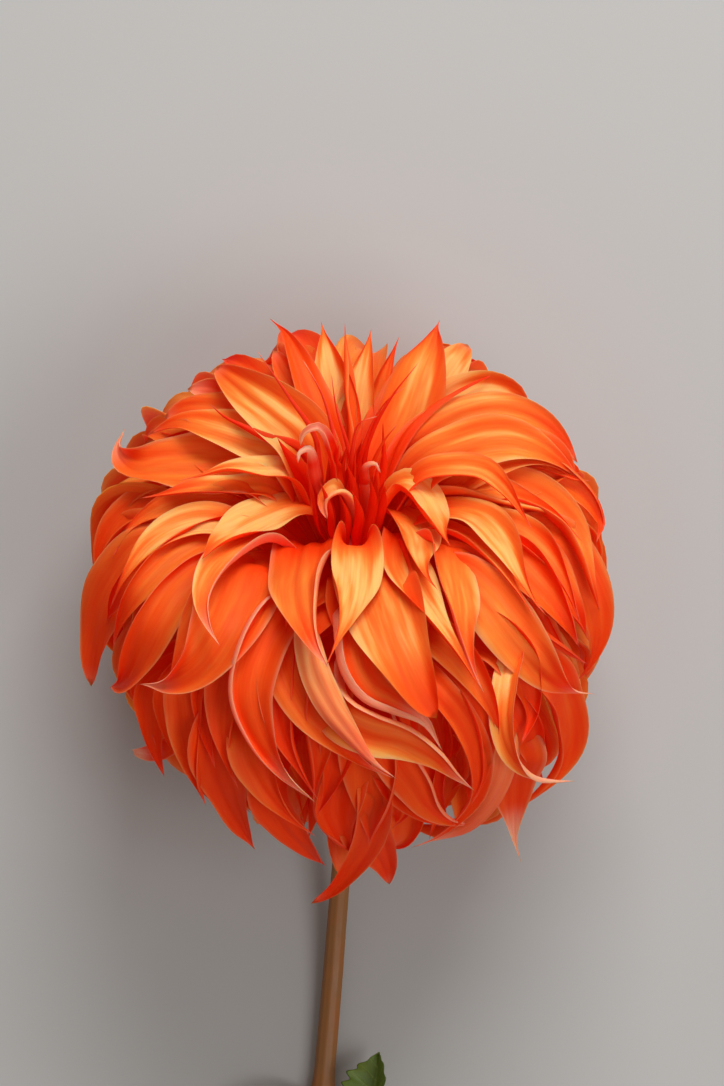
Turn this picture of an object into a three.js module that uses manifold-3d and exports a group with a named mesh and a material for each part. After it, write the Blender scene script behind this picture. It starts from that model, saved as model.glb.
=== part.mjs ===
// A cut dahlia lying on a table: a nodding orange head on its stem, with a pair of leaves.
// Millimetres, +Z up, the table at z = 0. +X is the right of the bloom and +Y points from the stem to the crown.
// Pieces are made round the head's middle line, then moved so that the origin is the middle of the footprint.
import * as THREE from 'three';
import { mergeVertices } from 'three/addons/utils/BufferGeometryUtils.js';
import Module from 'manifold-3d';

const wasm = await Module();
wasm.setup();

// Driving dimensions.
const FOOTPRINT_SHIFT = 64.6;   // the head's middle lies this far towards the crown from the footprint's middle
const HEAD_HEIGHT = 88;         // middle of the flower head above the table
const HEAD_REACH = 96;          // from the middle of the head to the outer petals
const CROWN_REACH = 26;         // the same at the bottom of the hollow in the crown
const CROWN_BACK_RISE = 38;     // how much taller the petals behind the crown stand
const CROWN_RIM = 72;           // degrees from the axis to where the globe of petals is full
const FACE_ANGLE = 40;          // degrees from the table to the flower's axis
const CORE_RADIUS = 36;         // fleshy middle with the crowded petal roots
const CORE_SETBACK = 12;        // the core's middle lies this far behind the head's
const CORE_BACK = 44;           // flat back of the core, from the head's middle
const ROOT_DEPTH = 5;           // how deep a petal's root is sunk in the core
const PETAL_THICKNESS = 0.8;
const PETAL_SINK = 7;           // a placed petal starts this far under the globe
const PETAL_PROUD = 10;         // and rises by this much towards its tip
const FACING = 0.45;            // how far placed petals turn up from the globe, as a share of its normal
const TABLE_PRESS = 0.3;        // petals on the table are pressed flat by this much
const TABLE_BEND = 1.2;         // softness of the bend where a petal comes down on the table
const SEAT_GAP = 0.3;           // between pieces that touch
const BLADE_STATIONS = [0, 0.36, 0.6, 0.82, 1];
const RULE_STATIONS = [0, 0.42, 0.74, 1];
const TIP_WIDTH = 0.7;
const GRID = 0.002;             // a joined solid's points lie on this fine grid
const PINCH_ROOM = 0.02;        // how far points where two sheets touch are drawn apart
const FLAT_BELOW = 13;         // narrower petals are plain strips
const QUILL_SHARE = 0.7;        // a rolled floret's thickness, as a share of the width it has unrolled
const PETAL_BELLY = 0.6;        // place of a petal's widest line, from root to tip
const CLAW = 0.3;               // width at the root, as a share of the widest

const radians = THREE.MathUtils.degToRad;
const vec = (x, y, z) => new THREE.Vector3(x, y, z);
const AXIS = vec(0, Math.cos(radians(FACE_ANGLE)), Math.sin(radians(FACE_ANGLE)));
const FRONT = vec(0, -Math.sin(radians(FACE_ANGLE)), Math.cos(radians(FACE_ANGLE)));
const RIGHT = vec(1, 0, 0);
const UP = vec(0, 0, 1);
const CORE = AXIS.clone().multiplyScalar(-CORE_SETBACK);
const CORE_PLANE = AXIS.z * HEAD_HEIGHT - CORE_BACK;

// Placed petals: path from the crown to the tip as x, y pairs, seen from above and measured from the head's
// middle, then the width, how much the left and right halves curl up, roll, twist at the tip and lift.
const SOFT = 0.45;
const CROWN_PETALS = [
  [[4, 30, 4, 21, 3, 10, -1, -2, -5, -11, -8, -20], 18, 0.5, 0.5, 0, 50, 8],
  [[-14, 26, -19, 18, -20, 8, -17, -5, -12, -13, -8, -19], 18, 1.5, 0.3, 0, 20, 5],
  [[8, 24, 12, 10, 16, -4, 21, -18, 27, -33, 30, -39], 22, 0.3, 0.4, 0, 0, 3],
  [[18, 30, 20, 18, 27, 6, 34, -4, 42, -15, 50, -28], 13, 0.2, 0.9, 0, -30, 5],
  [[8, 38, 17, 38, 24, 31, 27, 21, 30, 14, 34, 9], 13, 0.3, 1, 0, 0, 9],
  [[14, 42, 20, 48, 26, 44, 30, 37, 34, 30, 38, 25], 12, 0.2, 1.6, 0, 0, 11],
  [[34, 26, 38, 15, 41, 4, 43, -8, 46, -18, 51, -29], 14, 0.2, 1.2, 0, 0, 3],
  [[-10, 38, -20, 40, -31, 36, -42, 30, -50, 25, -55, 20], 16, 0.3, 0.3, 15, 0, 9],
  [[-30, 28, -42, 23, -50, 15, -53, 5, -51, -4, -47, -11], 11, 1.9, 0.2, 0, 0, 8],
  [[-26, 24, -36, 10, -44, -6, -54, -19, -66, -27, -79, -28], 22, 0.1, 1.8, 0, 0, 2],
];
const LEFT_PETALS = [
  [[-44, 12, -54, 0, -60, -12, -64, -22, -66, -30], 14, SOFT, SOFT, 0, 0, -3],
  [[-52, 18, -64, 10, -73, -3, -78, -14, -83, -25, -90, -30], 15, SOFT, SOFT, 0, 60, 0],
  [[-78, 20, -90, 8, -96, -5, -97, -17, -98, -28], 12, SOFT, SOFT, 0, 0, -2],
  [[-48, 33, -62, 32, -74, 25, -84, 13, -90, 2], 13, SOFT, SOFT, 15, 0, 5],
  [[-40, 30, -54, 28, -67, 20, -79, 7, -86, -5, -89, -14], 15, SOFT, SOFT, 0, 0, 0],
  [[-70, 44, -84, 37, -92, 26, -95, 12, -96, 2], 13, SOFT, SOFT, 0, 0, -4],
  [[-38, 42, -55, 42, -70, 39, -82, 32, -90, 20], 14, SOFT, SOFT, 0, 0, -3],
  [[-28, 46, -44, 47, -58, 46, -70, 44, -79, 43], 10, 0.9, 0.3, 0, 0, 2],
  [[-22, 52, -34, 54, -46, 54, -56, 51, -64, 49], 10, 1, 0.4, 10, 0, 10],
  [[-18, 60, -30, 65, -40, 70, -48, 74, -53, 78], 5, 1.2, 1.2, 120, 0, 15],
  [[-24, 62, -38, 64, -52, 67, -64, 70, -74, 70], 13, 1, 0.3, 0, 0, 5],
  [[-36, 54, -54, 57, -68, 57, -80, 57, -87, 63, -85, 70], 18, SOFT, SOFT, 0, 0, 0],
];
const TOP_PETALS = [
  [[-36, 66, -50, 71, -63, 74, -74, 74, -80, 69], 14, SOFT, SOFT, 0, 0, -2],
  [[-26, 72, -38, 82, -48, 88, -56, 89, -63, 84], 17, SOFT, SOFT, 0, 0, 2],
  [[-16, 76, -24, 86, -30, 94, -35, 100], 12, SOFT, SOFT, 0, 0, -1],
  [[-10, 72, -16, 86, -21, 97, -25, 105, -31, 112], 11, 1, 0.3, 0, 0, 6],
  [[-5, 72, -7, 86, -9, 99, -10, 111], 19, SOFT, SOFT, 0, 0, -2],
  [[0, 72, -2, 86, -2, 98, -1, 110], 8, SOFT, SOFT, 60, 0, 3],
  [[3, 74, 5, 88, 7, 99, 8, 108], 16, SOFT, SOFT, 0, 0, -3],
  [[12, 80, 15, 90, 18, 99, 20, 105], 13, SOFT, SOFT, 0, 0, -6],
  [[14, 58, 21, 74, 27, 90, 32, 101, 36, 111], 22, SOFT, SOFT, 0, 0, 2],
  [[22, 66, 32, 82, 40, 95, 46, 105], 14, SOFT, SOFT, 0, 0, -3],
  [[26, 62, 38, 76, 50, 84, 60, 86, 68, 79], 18, SOFT, SOFT, 0, 0, -2],
  [[20, 64, 30, 76, 40, 83, 49, 88, 56, 91], 7, 1.2, 1.2, 130, 0, 10],
];
const RIGHT_PETALS = [
  [[24, 56, 38, 66, 54, 71, 68, 71, 80, 67], 14, SOFT, SOFT, 0, 0, 0],
  [[26, 54, 42, 61, 58, 65, 74, 65, 84, 62, 88, 55], 15, SOFT, SOFT, 0, 0, -1],
  [[26, 51, 38, 54, 50, 53, 59, 46, 65, 38, 69, 31], 11, 0.3, 1.3, 0, 0, 9],
  [[26, 44, 40, 47, 52, 45, 64, 41, 78, 36, 88, 27], 13, SOFT, SOFT, 0, 0, 0],
  [[26, 36, 38, 39, 49, 36, 58, 26, 64, 13, 69, 3, 73, -2], 13, 0.9, 0.2, 0, 0, 7],
  [[38, 16, 49, 8, 58, -4, 67, -16, 76, -26, 84, -30, 93, -31], 18, 0.3, 0.2, 0, 90, 3],
  [[52, 32, 65, 29, 75, 20, 82, 9, 87, -3], 13, SOFT, SOFT, 0, 0, 1],
  [[58, 46, 72, 42, 82, 33, 88, 21, 92, 9, 95, 1], 15, SOFT, SOFT, 0, 0, 1],
  [[78, 28, 90, 18, 96, 5, 98, -8, 95, -20, 86, -29], 13, SOFT, SOFT, 0, 0, 0],
  [[72, 54, 84, 49, 92, 42, 96, 33, 94, 25], 13, SOFT, SOFT, 0, 0, -1],
  [[44, 58, 58, 58, 70, 53, 80, 45, 87, 34, 90, 22], 17, SOFT, SOFT, 0, 0, 0],
];
const LOWER_RIGHT_PETALS = [
  [[60, -14, 59, -26, 58, -38, 61, -51, 68, -60, 76, -63, 85, -64], 9, 0.9, 0.9, 60, 90, 3],
  [[76, -26, 81, -38, 82, -50, 78, -60, 69, -70, 60, -77], 12, SOFT, SOFT, 0, 0, -2],
  [[62, -62, 62, -72, 61, -82, 61, -89, 63, -95], 14, SOFT, SOFT, 0, 60, -8],
  [[62, -36, 68, -48, 73, -60, 76, -66], 12, SOFT, SOFT, 0, 0, -6],
  [[32, -28, 41, -40, 47, -54, 47, -68, 40, -79, 31, -86, 23, -89], 10, SOFT, SOFT, 0, 40, 0],
  [[48, -38, 54, -50, 57, -62, 55, -73, 48, -81, 38, -87, 29, -87], 12, 1.2, 1.2, 150, 0, 1],
  [[34, -8, 43, -18, 50, -30, 54, -42, 54, -52], 13, SOFT, SOFT, 0, 0, 0],
  [[14, -44, 20, -54, 26, -63, 31, -72, 38, -78, 47, -81], 16, 1.5, 0.2, 0, 0, 1],
  [[-2, -36, 8, -42, 20, -46, 31, -53, 39, -61, 46, -67], 16, 0.2, 0.9, 0, 0, 3],
  [[-3, -6, -1, -20, 5, -31, 16, -36, 28, -41, 36, -52], 11, 0.2, 1.7, 0, 0, 2],
];
const LOWER_LEFT_PETALS = [
  [[-15, -8, -13, -22, -7, -35, 1, -46, 9, -55, 18, -61], 10, 1.1, 1.1, 90, 0, 4],
  [[-22, -6, -21, -20, -15, -34, -5, -47, 6, -57, 16, -62], 16, SOFT, SOFT, 0, 0, 0],
  [[-26, 0, -34, -14, -38, -30, -34, -46, -25, -60, -13, -71], 17, 0.9, 0.3, 0, 0, 1],
  [[-10, -30, -12, -44, -12, -58, -12, -72], 17, SOFT, SOFT, 0, 0, -4],
  [[8, -44, 9, -58, 9, -72, 8, -88], 23, SOFT, SOFT, 0, 0, -8],
  [[9, -66, 8, -78, 5, -88, 0, -97, -6, -105, -14, -111], 10, SOFT, SOFT, 0, 30, -5],
  [[6, -78, 10, -88, 13, -96, 14, -104], 11, SOFT, SOFT, 0, 0, -12],
  [[-30, -66, -24, -79, -16, -89, -8, -97], 14, SOFT, SOFT, 0, 0, -6],
  [[-36, -48, -31, -62, -22, -75, -12, -84], 15, SOFT, SOFT, 0, 0, -1],
  [[-48, -44, -46, -60, -40, -75, -35, -88], 18, SOFT, SOFT, 0, 0, -3],
  [[-64, -42, -64, -55, -57, -67, -46, -75], 12, SOFT, SOFT, 0, 0, -7],
  [[-60, -26, -60, -40, -57, -55, -52, -70], 12, SOFT, SOFT, 0, 0, 0],
  [[-66, -28, -67, -42, -62, -57, -54, -69], 12, SOFT, SOFT, 0, 0, -3],
  [[-73, -28, -73, -40, -71, -51, -69, -60], 12, SOFT, SOFT, 0, 0, -4],
  [[-79, -26, -78, -38, -75, -48, -73, -56], 10, SOFT, SOFT, 0, 0, -7],
];

// Young florets in the crown: path as x, y pairs, width, and how far in front of the plane through the
// flower's axis they start and end.
const CROWN_FLORETS = [
  [[0, 24, 0, 34, -2, 43, -6, 47, -9, 41, -7, 34], 10, 2, 16],
  [[4, 24, 5, 36, 5, 47, 7, 57], 9, 0, 0],
  [[-9, 30, -11, 46, -13, 58, -16, 64, -19, 60], 9, -2, 4],
  [[-6, 30, -8, 48, -9, 62, -12, 70, -17, 66], 9, -5, -2],
  [[-2, 30, -3, 46, -4, 60, -2, 68], 8, -6, -8],
  [[1, 40, 0, 60, -4, 76, -7, 90], 4, -10, -28],
  [[-3, 40, -5, 62, -10, 80, -18, 94], 5, -10, -28],
  [[-8, 40, -12, 66, -22, 82, -34, 99], 6, -10, -28],
  [[4, 40, 8, 66, 16, 82, 26, 94], 5, -8, -24],
  [[3, 40, 7, 66, 14, 78, 22, 84], 3, -8, -20],
  [[1, 36, 1, 58, 4, 70, 11, 73], 4, -6, -10],
  [[6, 36, 8, 54, 12, 64, 18, 71], 4, -6, -10],
  [[9, 36, 11, 50, 13, 62, 14, 72], 7, -8, -16],
];
const QUILL_SIDES = 4;
const DOME_RADIUS = 14;         // little dome under the young florets
const DOME_RISE = 26;           // its middle, in front of the head's middle
const BUD_FLORETS = 16;         // the youngest florets, on the dome by a rule
const BUD_SPREAD = 62;          // degrees from the axis to the outermost of them
const BUD_LENGTH = 20;
const BUD_WIDTH = 4.4;

// Petals that follow the rule, round the sides and the back.
const RULE_PETALS = 39;
const GOLDEN_ANGLE = 137.508;
const RULE_FIRST_POLAR = 78;    // degrees from the axis to the first tips
const RULE_LAST_POLAR = 166;
const RULE_CROWDING = 0.9;      // under 1 crowds the rule's petals towards the back
const RULE_WIDTH = 27;
const RULE_SINK = 17;           // how deep a petal of the rule starts under the globe
const RULE_HIDDEN_SINK = 10;    // deeper still where placed petals lie over it
const RULE_PROUD = 14;          // and how much it rises towards its tip
const PRESSED_PAST = 4;         // how far past the globe they would reach
const PRESSED_FROM = 0.55;      // petals that face down more than this are pressed out to the table
const RULE_SEEN_LIMIT = 0.08;   // a tip that would be higher than this share of the head is left to placed petals

// Bracts behind the head.
const BRACTS = 6;
const DISC_RADIUS = 12;
const DISC_HEIGHT = 3.6;

// Stem: the route of its middle line over the table once it is clear of the head.
const STEM_TOP_RADIUS = 3.3;
const STEM_END_RADIUS = 4.3;
const STEM_STEPS = 26;
const STEM_ROUTE = [
  [-1.2, -74, 28], [-2.6, -94, 18], [-4.4, -116, 11], [-6.8, -147, 6], [-9.7, -181, 4.3], [-13, -228, 4.1],
];
const NODE_Y = -191;            // where the two leaves grow from the stem
const NODE_SWELL = 1.2;

// Leaves: stalk and midrib as points over the table, half the blade's width, and how its halves fold up, in degrees.
const LEAF_THICKNESS = 0.8;
const RIGHT_LEAF = {
  stalk: [[-4.9, -193, 5.5], [-1, -197, 9], [4, -199, 12], [7.5, -196, 13.5]],
  midrib: [[7.5, -196.5, 13.5], [9.5, -189, 15], [11, -181, 15], [11.5, -172.2, 13.5]],
  stalkRadius: 1.3,
  half: 14,
  teeth: 5,
  folds: [8, 75],
};
const LEFT_LEAF = {
  stalk: [[-15.6, -190, 6], [-22, -188, 9.5], [-31, -188.5, 12], [-41, -194, 12], [-50, -204, 8]],
  midrib: [[-49.5, -203.5, 8], [-58, -214, 5.5], [-66, -226, 4], [-73, -239, 2.2]],
  stalkRadius: 1.5,
  half: 15,
  teeth: 8,
  folds: [6, 6],
};

const smooth = t => THREE.MathUtils.smoothstep(t, 0, 1);

// Repeatable variation between -1 and 1 for petal number i.
function vary(i, k) {
  const s = Math.sin(i * 12.9898 + k * 78.233) * 43758.5453;
  return 2 * (s - Math.floor(s)) - 1;
}

// How far the petals reach from the head's middle in one direction.
function reach(direction) {
  const polar = THREE.MathUtils.radToDeg(Math.acos(THREE.MathUtils.clamp(direction.dot(AXIS), -1, 1)));
  const side = direction.clone().addScaledVector(AXIS, -direction.dot(AXIS));
  const back = side.length() > 1e-6 ? Math.max(0, -side.dot(FRONT) / side.length()) : 0;
  const globe = (HEAD_REACH - CROWN_REACH) * smooth(polar / CROWN_RIM);
  return CROWN_REACH + globe + CROWN_BACK_RISE * back * smooth(polar / 40) * (1 - smooth((polar - 60) / 60));
}

// Height of the petal globe over the head's middle, seen from above at x, y.
function globeHeight(x, y) {
  const top = 105;
  const step = 1.2;
  let nearest = Infinity;
  let height = 0;
  for (let z = top; z > -25; z -= step) {
    const p = vec(x, y, z);
    const gap = p.length() - reach(p.clone().normalize());
    if (gap <= 0) return z;
    if (gap < nearest) {
      nearest = gap;
      height = z;
    }
  }
  return height;
}

// The root on the core from which a petal grows that first shows at a point.
function rootFor(point, towardsAxis) {
  const out = point.clone().sub(CORE).normalize().lerp(AXIS, towardsAxis).normalize();
  return CORE.clone().addScaledVector(out, CORE_RADIUS - ROOT_DEPTH);
}

function placedSpine([path, , , , , , lift]) {
  const points = [];
  const last = path.length / 2 - 1;
  for (let i = 0; i <= last; i++) {
    const x = path[2 * i];
    const y = path[2 * i + 1];
    points.push(vec(x, y, globeHeight(x, y) + lift - PETAL_SINK + PETAL_PROUD * i / last));
  }
  points.unshift(rootFor(points[0], 0.4));
  return new THREE.CatmullRomCurve3(points, false, 'centripetal');
}

// A crown floret rises close to the plane that holds the flower's axis.
function floretSpine([path, , start, end]) {
  const last = path.length / 2 - 1;
  const points = [vec(path[0] / 2, 0, 0).addScaledVector(AXIS, DOME_RISE)];
  for (let i = 0; i <= last; i++) {
    const forward = start + (end - start) * (i / last) ** 1.5;
    points.push(vec(path[2 * i], path[2 * i + 1], path[2 * i + 1] * Math.tan(radians(FACE_ANGLE)) + forward));
  }
  return new THREE.CatmullRomCurve3(points, false, 'centripetal');
}

// Direction at a polar angle from the flower's axis and an angle round it, both in degrees.
function headDirection(polar, round) {
  const side = FRONT.clone().multiplyScalar(Math.cos(radians(round)));
  side.addScaledVector(RIGHT, Math.sin(radians(round)));
  return AXIS.clone().multiplyScalar(Math.cos(radians(polar))).addScaledVector(side, Math.sin(radians(polar)));
}

// A petal of the rule leaves the core, arches out to the globe and hangs towards the stem.
function ruleSpine(i) {
  const share = (i + 0.5) / RULE_PETALS;
  const tipPolar = RULE_FIRST_POLAR + (RULE_LAST_POLAR - RULE_FIRST_POLAR) * share ** RULE_CROWDING + 5 * vary(i, 1);
  const round = i * GOLDEN_ANGLE + 6 * vary(i, 2);
  const swirl = 9 * vary(i, 3);
  const points = [];
  for (const t of [0, 0.3, 0.55, 0.8, 1]) {
    const polar = THREE.MathUtils.lerp(0.42 * tipPolar, tipPolar, t ** 1.15);
    const direction = headDirection(polar, round + swirl * t * t);
    const out = Math.sin(Math.PI / 2 * Math.min(1, t / 0.6));
    const hidden = RULE_HIDDEN_SINK * smooth(direction.z / 0.3);
    const pressed = smooth((-direction.z - PRESSED_FROM) / 0.3);
    const sunk = reach(direction) - RULE_SINK - hidden + RULE_PROUD * t + 2 * vary(i, 4) * t;
    const far = THREE.MathUtils.lerp(sunk, reach(direction) + PRESSED_PAST, pressed);
    points.push(direction.multiplyScalar(THREE.MathUtils.lerp(CORE_RADIUS - ROOT_DEPTH - 6, far, out)));
  }
  return new THREE.CatmullRomCurve3(points, false, 'centripetal');
}

// Keeps a line above the table, with a soft bend where it comes down on it.
function overTable(point) {
  const low = PETAL_THICKNESS / 2 - TABLE_PRESS - HEAD_HEIGHT;
  const over = (point.z - low) / TABLE_BEND;
  point.z = low + TABLE_BEND * (over > 20 ? over : Math.log1p(Math.exp(over)));
  return point;
}

// Tangents, face normals and side directions along a petal, turned as little as possible from its belly.
function petalFrames(points, facing) {
  const last = points.length - 1;
  const tangents = points.map((p, i) => points[Math.min(i + 1, last)].clone().sub(points[Math.max(i - 1, 0)]).normalize());
  const middle = Math.round(PETAL_BELLY * last);
  const normals = [];
  const flatten = (v, t) => v.addScaledVector(t, -v.dot(t)).normalize();
  normals[middle] = flatten(points[middle].clone().normalize().addScaledVector(UP, facing), tangents[middle]);
  for (let i = middle + 1; i <= last; i++) normals[i] = flatten(normals[i - 1].clone(), tangents[i]);
  for (let i = middle - 1; i >= 0; i--) normals[i] = flatten(normals[i + 1].clone(), tangents[i]);
  return { tangents, normals, sides: tangents.map((t, i) => t.clone().cross(normals[i])) };
}

// Share of the full width at s, from root to tip.
function petalWidth(s) {
  if (s < PETAL_BELLY) return CLAW + (1 - CLAW) * Math.sin(Math.PI / 2 * s / PETAL_BELLY) ** 1.3;
  return Math.cos(Math.PI / 2 * (s - PETAL_BELLY) / (1 - PETAL_BELLY)) ** 1.25;
}

// A closed solid from rings of points, each ring going round the same way, with a fan over each end.
function solidFromRings(rings) {
  const sides = rings[0].length;
  const triangles = [];
  for (let i = 0; i + 1 < rings.length; i++) {
    for (let j = 0; j < sides; j++) {
      const a = i * sides + j;
      const b = i * sides + (j + 1) % sides;
      triangles.push(a, b, b + sides, a, b + sides, a + sides);
    }
  }
  const end = (rings.length - 1) * sides;
  for (let j = 1; j + 1 < sides; j++) triangles.push(0, j + 1, j, end, end + j, end + j + 1);
  const geometry = new THREE.BufferGeometry().setFromPoints(rings.flat());
  geometry.setIndex(triangles);
  return solidFromGeometry(geometry);
}

// Merges the points that coincide, drops what that flattens, and makes a solid.
function solidFromGeometry(geometry) {
  for (const name of Object.keys(geometry.attributes)) {
    if (name !== 'position') geometry.deleteAttribute(name);
  }
  const merged = mergeVertices(geometry, 1e-4);
  const corners = [];
  for (let i = 0; i < merged.index.count; i += 3) {
    const [a, b, c] = [0, 1, 2].map(k => merged.index.getX(i + k));
    if (a !== b && b !== c && c !== a) corners.push(a, b, c);
  }
  const solid = new wasm.Manifold(new wasm.Mesh({
    numProp: 3,
    vertProperties: Float32Array.from(merged.attributes.position.array),
    triVerts: Uint32Array.from(corners),
  }));
  if (solid.volume() <= 0) throw new Error('a solid is inside out');
  return solid;
}

// Across a blade: points on the arch that its two curled halves make, from its left edge to its right.
function archPoints(point, side, normal, half, curls, columns) {
  return Array.from({ length: columns }, (_, j) => {
    const across = 2 * j / (columns - 1) - 1;
    const curl = across < 0 ? curls[0] : curls[1];
    const angle = curl * Math.abs(across);
    return point.clone()
      .addScaledVector(side, Math.sign(across) * Math.sin(angle) / curl * half)
      .addScaledVector(normal, (1 - Math.cos(angle)) / curl * half);
  });
}

// A petal: an arched blade with the same thickness all over.
function petalSolid(curve, { width, left, right, roll, twist, facing, stations = BLADE_STATIONS }) {
  const points = stations.map(s => overTable(curve.getPointAt(s)));
  const { normals, sides } = petalFrames(points, facing);
  const columns = width < FLAT_BELOW ? 2 : 3;
  return solidFromRings(points.map((point, i) => {
    const s = stations[i];
    const tipShare = Math.max(0, (s - PETAL_BELLY) / (1 - PETAL_BELLY));
    const turn = radians(roll * smooth(s / PETAL_BELLY) + twist * tipShare ** 1.5);
    const normal = normals[i].clone().multiplyScalar(Math.cos(turn)).addScaledVector(sides[i], Math.sin(turn));
    const side = sides[i].clone().multiplyScalar(Math.cos(turn)).addScaledVector(normals[i], -Math.sin(turn));
    const half = Math.max(width / 2 * petalWidth(s), TIP_WIDTH / 2);
    const ends = 1 - smooth(s / 0.35) + 0.8 * smooth((s - 0.8) / 0.2);
    const curls = [left, right].map(curl => curl * (0.5 + 0.5 * smooth(s / PETAL_BELLY)) + ends);
    const middle = archPoints(point.clone().add(vec(0, 0, HEAD_HEIGHT)), side, normal, half, curls, columns);
    const upper = middle.map(p => p.clone().addScaledVector(normal, PETAL_THICKNESS / 2));
    const lower = middle.map(p => p.clone().addScaledVector(normal, -PETAL_THICKNESS / 2));
    const under = normal.z < 0 ? upper : lower;
    for (const p of upper) p.z = Math.max(p.z, upper === under ? 0 : PETAL_THICKNESS);
    for (const p of lower) p.z = Math.max(p.z, lower === under ? 0 : PETAL_THICKNESS);
    return [...upper, ...lower.reverse()];
  }));
}

// A rolled floret: a slim quill, widest past its middle. Its width and the room round it are given.
function quillSolid(curve, width, room = 0) {
  const stations = [0, 0.25, 0.5, 0.7, 0.85, 1];
  const points = stations.map(s => curve.getPointAt(s));
  const { normals, sides } = petalFrames(points, 0);
  return solidFromRings(points.map((point, i) => {
    const s = stations[i];
    const shape = (0.55 + 0.45 * smooth(s / 0.6)) * Math.sqrt(1 - s ** 4);
    const radius = room + Math.max(TIP_WIDTH / 2, width / 2 * shape);
    return Array.from({ length: QUILL_SIDES }, (_, k) => {
      const angle = 2 * Math.PI * k / QUILL_SIDES;
      return point.clone().add(vec(0, 0, HEAD_HEIGHT))
        .addScaledVector(normals[i], radius * Math.cos(angle))
        .addScaledVector(sides[i], radius * Math.sin(angle));
    });
  }));
}

function ballSolid(middle, radius, detail) {
  const geometry = new THREE.SphereGeometry(radius, detail, Math.round(detail * 0.6));
  geometry.translate(middle.x, middle.y, middle.z + HEAD_HEIGHT);
  return solidFromGeometry(geometry);
}

// A tube round a line of points, with its own radius at each.
function tubeSolid(points, radii, sides) {
  const last = points.length - 1;
  const tangents = points.map((p, i) => points[Math.min(i + 1, last)].clone()
    .sub(points[Math.max(i - 1, 0)]).normalize());
  let across = RIGHT.clone();
  return solidFromRings(points.map((point, i) => {
    across = across.clone().addScaledVector(tangents[i], -across.dot(tangents[i])).normalize();
    const other = tangents[i].clone().cross(across);
    return Array.from({ length: sides }, (_, k) => {
      const angle = 2 * Math.PI * k / sides;
      return point.clone().addScaledVector(across, radii[i] * Math.cos(angle))
        .addScaledVector(other, radii[i] * Math.sin(angle));
    });
  }));
}

const join = solids => wasm.Manifold.union(solids);
const onTable = solid => solid.trimByPlane([0, 0, 1], 0);

// The surface of a solid as places and corners, where points of two sheets that touch stay apart: each such point is
// drawn a little into its own sheet's material, so that no edge is shared by more than two faces.
function openSurface(solid) {
  const { vertProperties, triVerts, mergeFromVert = [], mergeToVert = [] } = solid.getMesh();
  const same = Array.from({ length: vertProperties.length / 3 }, (_, i) => i);
  mergeFromVert.forEach((from, k) => {
    same[from] = mergeToVert[k];
  });
  const corners = Array.from(triVerts, v => same[v]);
  const places = new Map();
  const normals = new Map();
  for (const v of corners) {
    if (places.has(v)) continue;
    places.set(v, vec(...[0, 1, 2].map(k => Math.round(vertProperties[3 * v + k] / GRID) * GRID)));
    normals.set(v, vec(0, 0, 0));
  }
  for (let t = 0; t < corners.length; t += 3) {
    const [a, b, c] = [0, 1, 2].map(k => places.get(corners[t + k]));
    const normal = b.clone().sub(a).cross(c.clone().sub(a));
    for (let k = 0; k < 3; k++) normals.get(corners[t + k]).add(normal);
  }
  const shared = new Map();
  for (const [v, place] of places) {
    const key = place.toArray().map(x => Math.round(x / GRID)).join();
    shared.set(key, [...(shared.get(key) || []), v]);
  }
  for (const group of shared.values()) {
    if (group.length === 1) continue;
    group.forEach((v, n) => places.get(v).addScaledVector(normals.get(v).normalize(), -PINCH_ROOM * (n + 1)));
  }
  return { places, corners };
}

// The largest body of a solid: a scrap that a cut left loose is dropped, and a sealed hollow is filled.
function wholeBody(solid) {
  const { places, corners } = openSurface(solid);
  const order = new Map([...places.keys()].map((v, i) => [v, i]));
  const rebuilt = new wasm.Manifold(new wasm.Mesh({
    numProp: 3,
    vertProperties: Float32Array.from([...places.values()].flatMap(p => p.toArray())),
    triVerts: Uint32Array.from(corners, v => order.get(v)),
  }));
  return rebuilt.decompose().sort((a, b) => b.volume() - a.volume())[0];
}

function crownFlorets(room = 0) {
  const solids = [ballSolid(AXIS.clone().multiplyScalar(DOME_RISE), DOME_RADIUS + room, 12)];
  for (const row of CROWN_FLORETS) solids.push(quillSolid(floretSpine(row), row[1] * QUILL_SHARE, room));
  for (let i = 0; i < BUD_FLORETS; i++) {
    const lean = BUD_SPREAD * Math.sqrt((i + 0.5) / BUD_FLORETS);
    const direction = headDirection(lean, i * GOLDEN_ANGLE);
    const root = AXIS.clone().multiplyScalar(DOME_RISE).addScaledVector(direction, DOME_RADIUS - 3);
    const middle = root.clone().addScaledVector(direction, BUD_LENGTH / 2);
    const length = BUD_LENGTH * (1 + 0.25 * vary(i, 11));
    const tip = root.clone().addScaledVector(direction.clone().lerp(AXIS, 0.5).normalize(), length);
    const curve = new THREE.CatmullRomCurve3([root, middle, tip], false, 'centripetal');
    solids.push(quillSolid(curve, BUD_WIDTH, room));
  }
  return wholeBody(join(solids));
}

function rayPetals() {
  const solids = [ballSolid(CORE, CORE_RADIUS, 16).trimByPlane(AXIS.toArray(), CORE_PLANE)];
  const placed = [...CROWN_PETALS, ...LEFT_PETALS, ...TOP_PETALS, ...RIGHT_PETALS,
    ...LOWER_RIGHT_PETALS, ...LOWER_LEFT_PETALS];
  for (const row of placed) {
    const [, width, left, right, roll, twist] = row;
    solids.push(petalSolid(placedSpine(row), { width, left, right, roll, twist, facing: FACING }));
  }
  for (let i = 0; i < RULE_PETALS; i++) {
    const curve = ruleSpine(i);
    if (curve.getPointAt(1).normalize().z > RULE_SEEN_LIMIT) continue;
    const width = RULE_WIDTH * (1 + 0.1 * vary(i, 5));
    const form = { width, left: SOFT, right: SOFT, roll: 12 * vary(i, 6), twist: 40 * vary(i, 7), facing: 0 };
    solids.push(petalSolid(curve, { ...form, stations: RULE_STATIONS }));
  }
  return wholeBody(onTable(join(solids)).subtract(crownFlorets(SEAT_GAP)));
}

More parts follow.
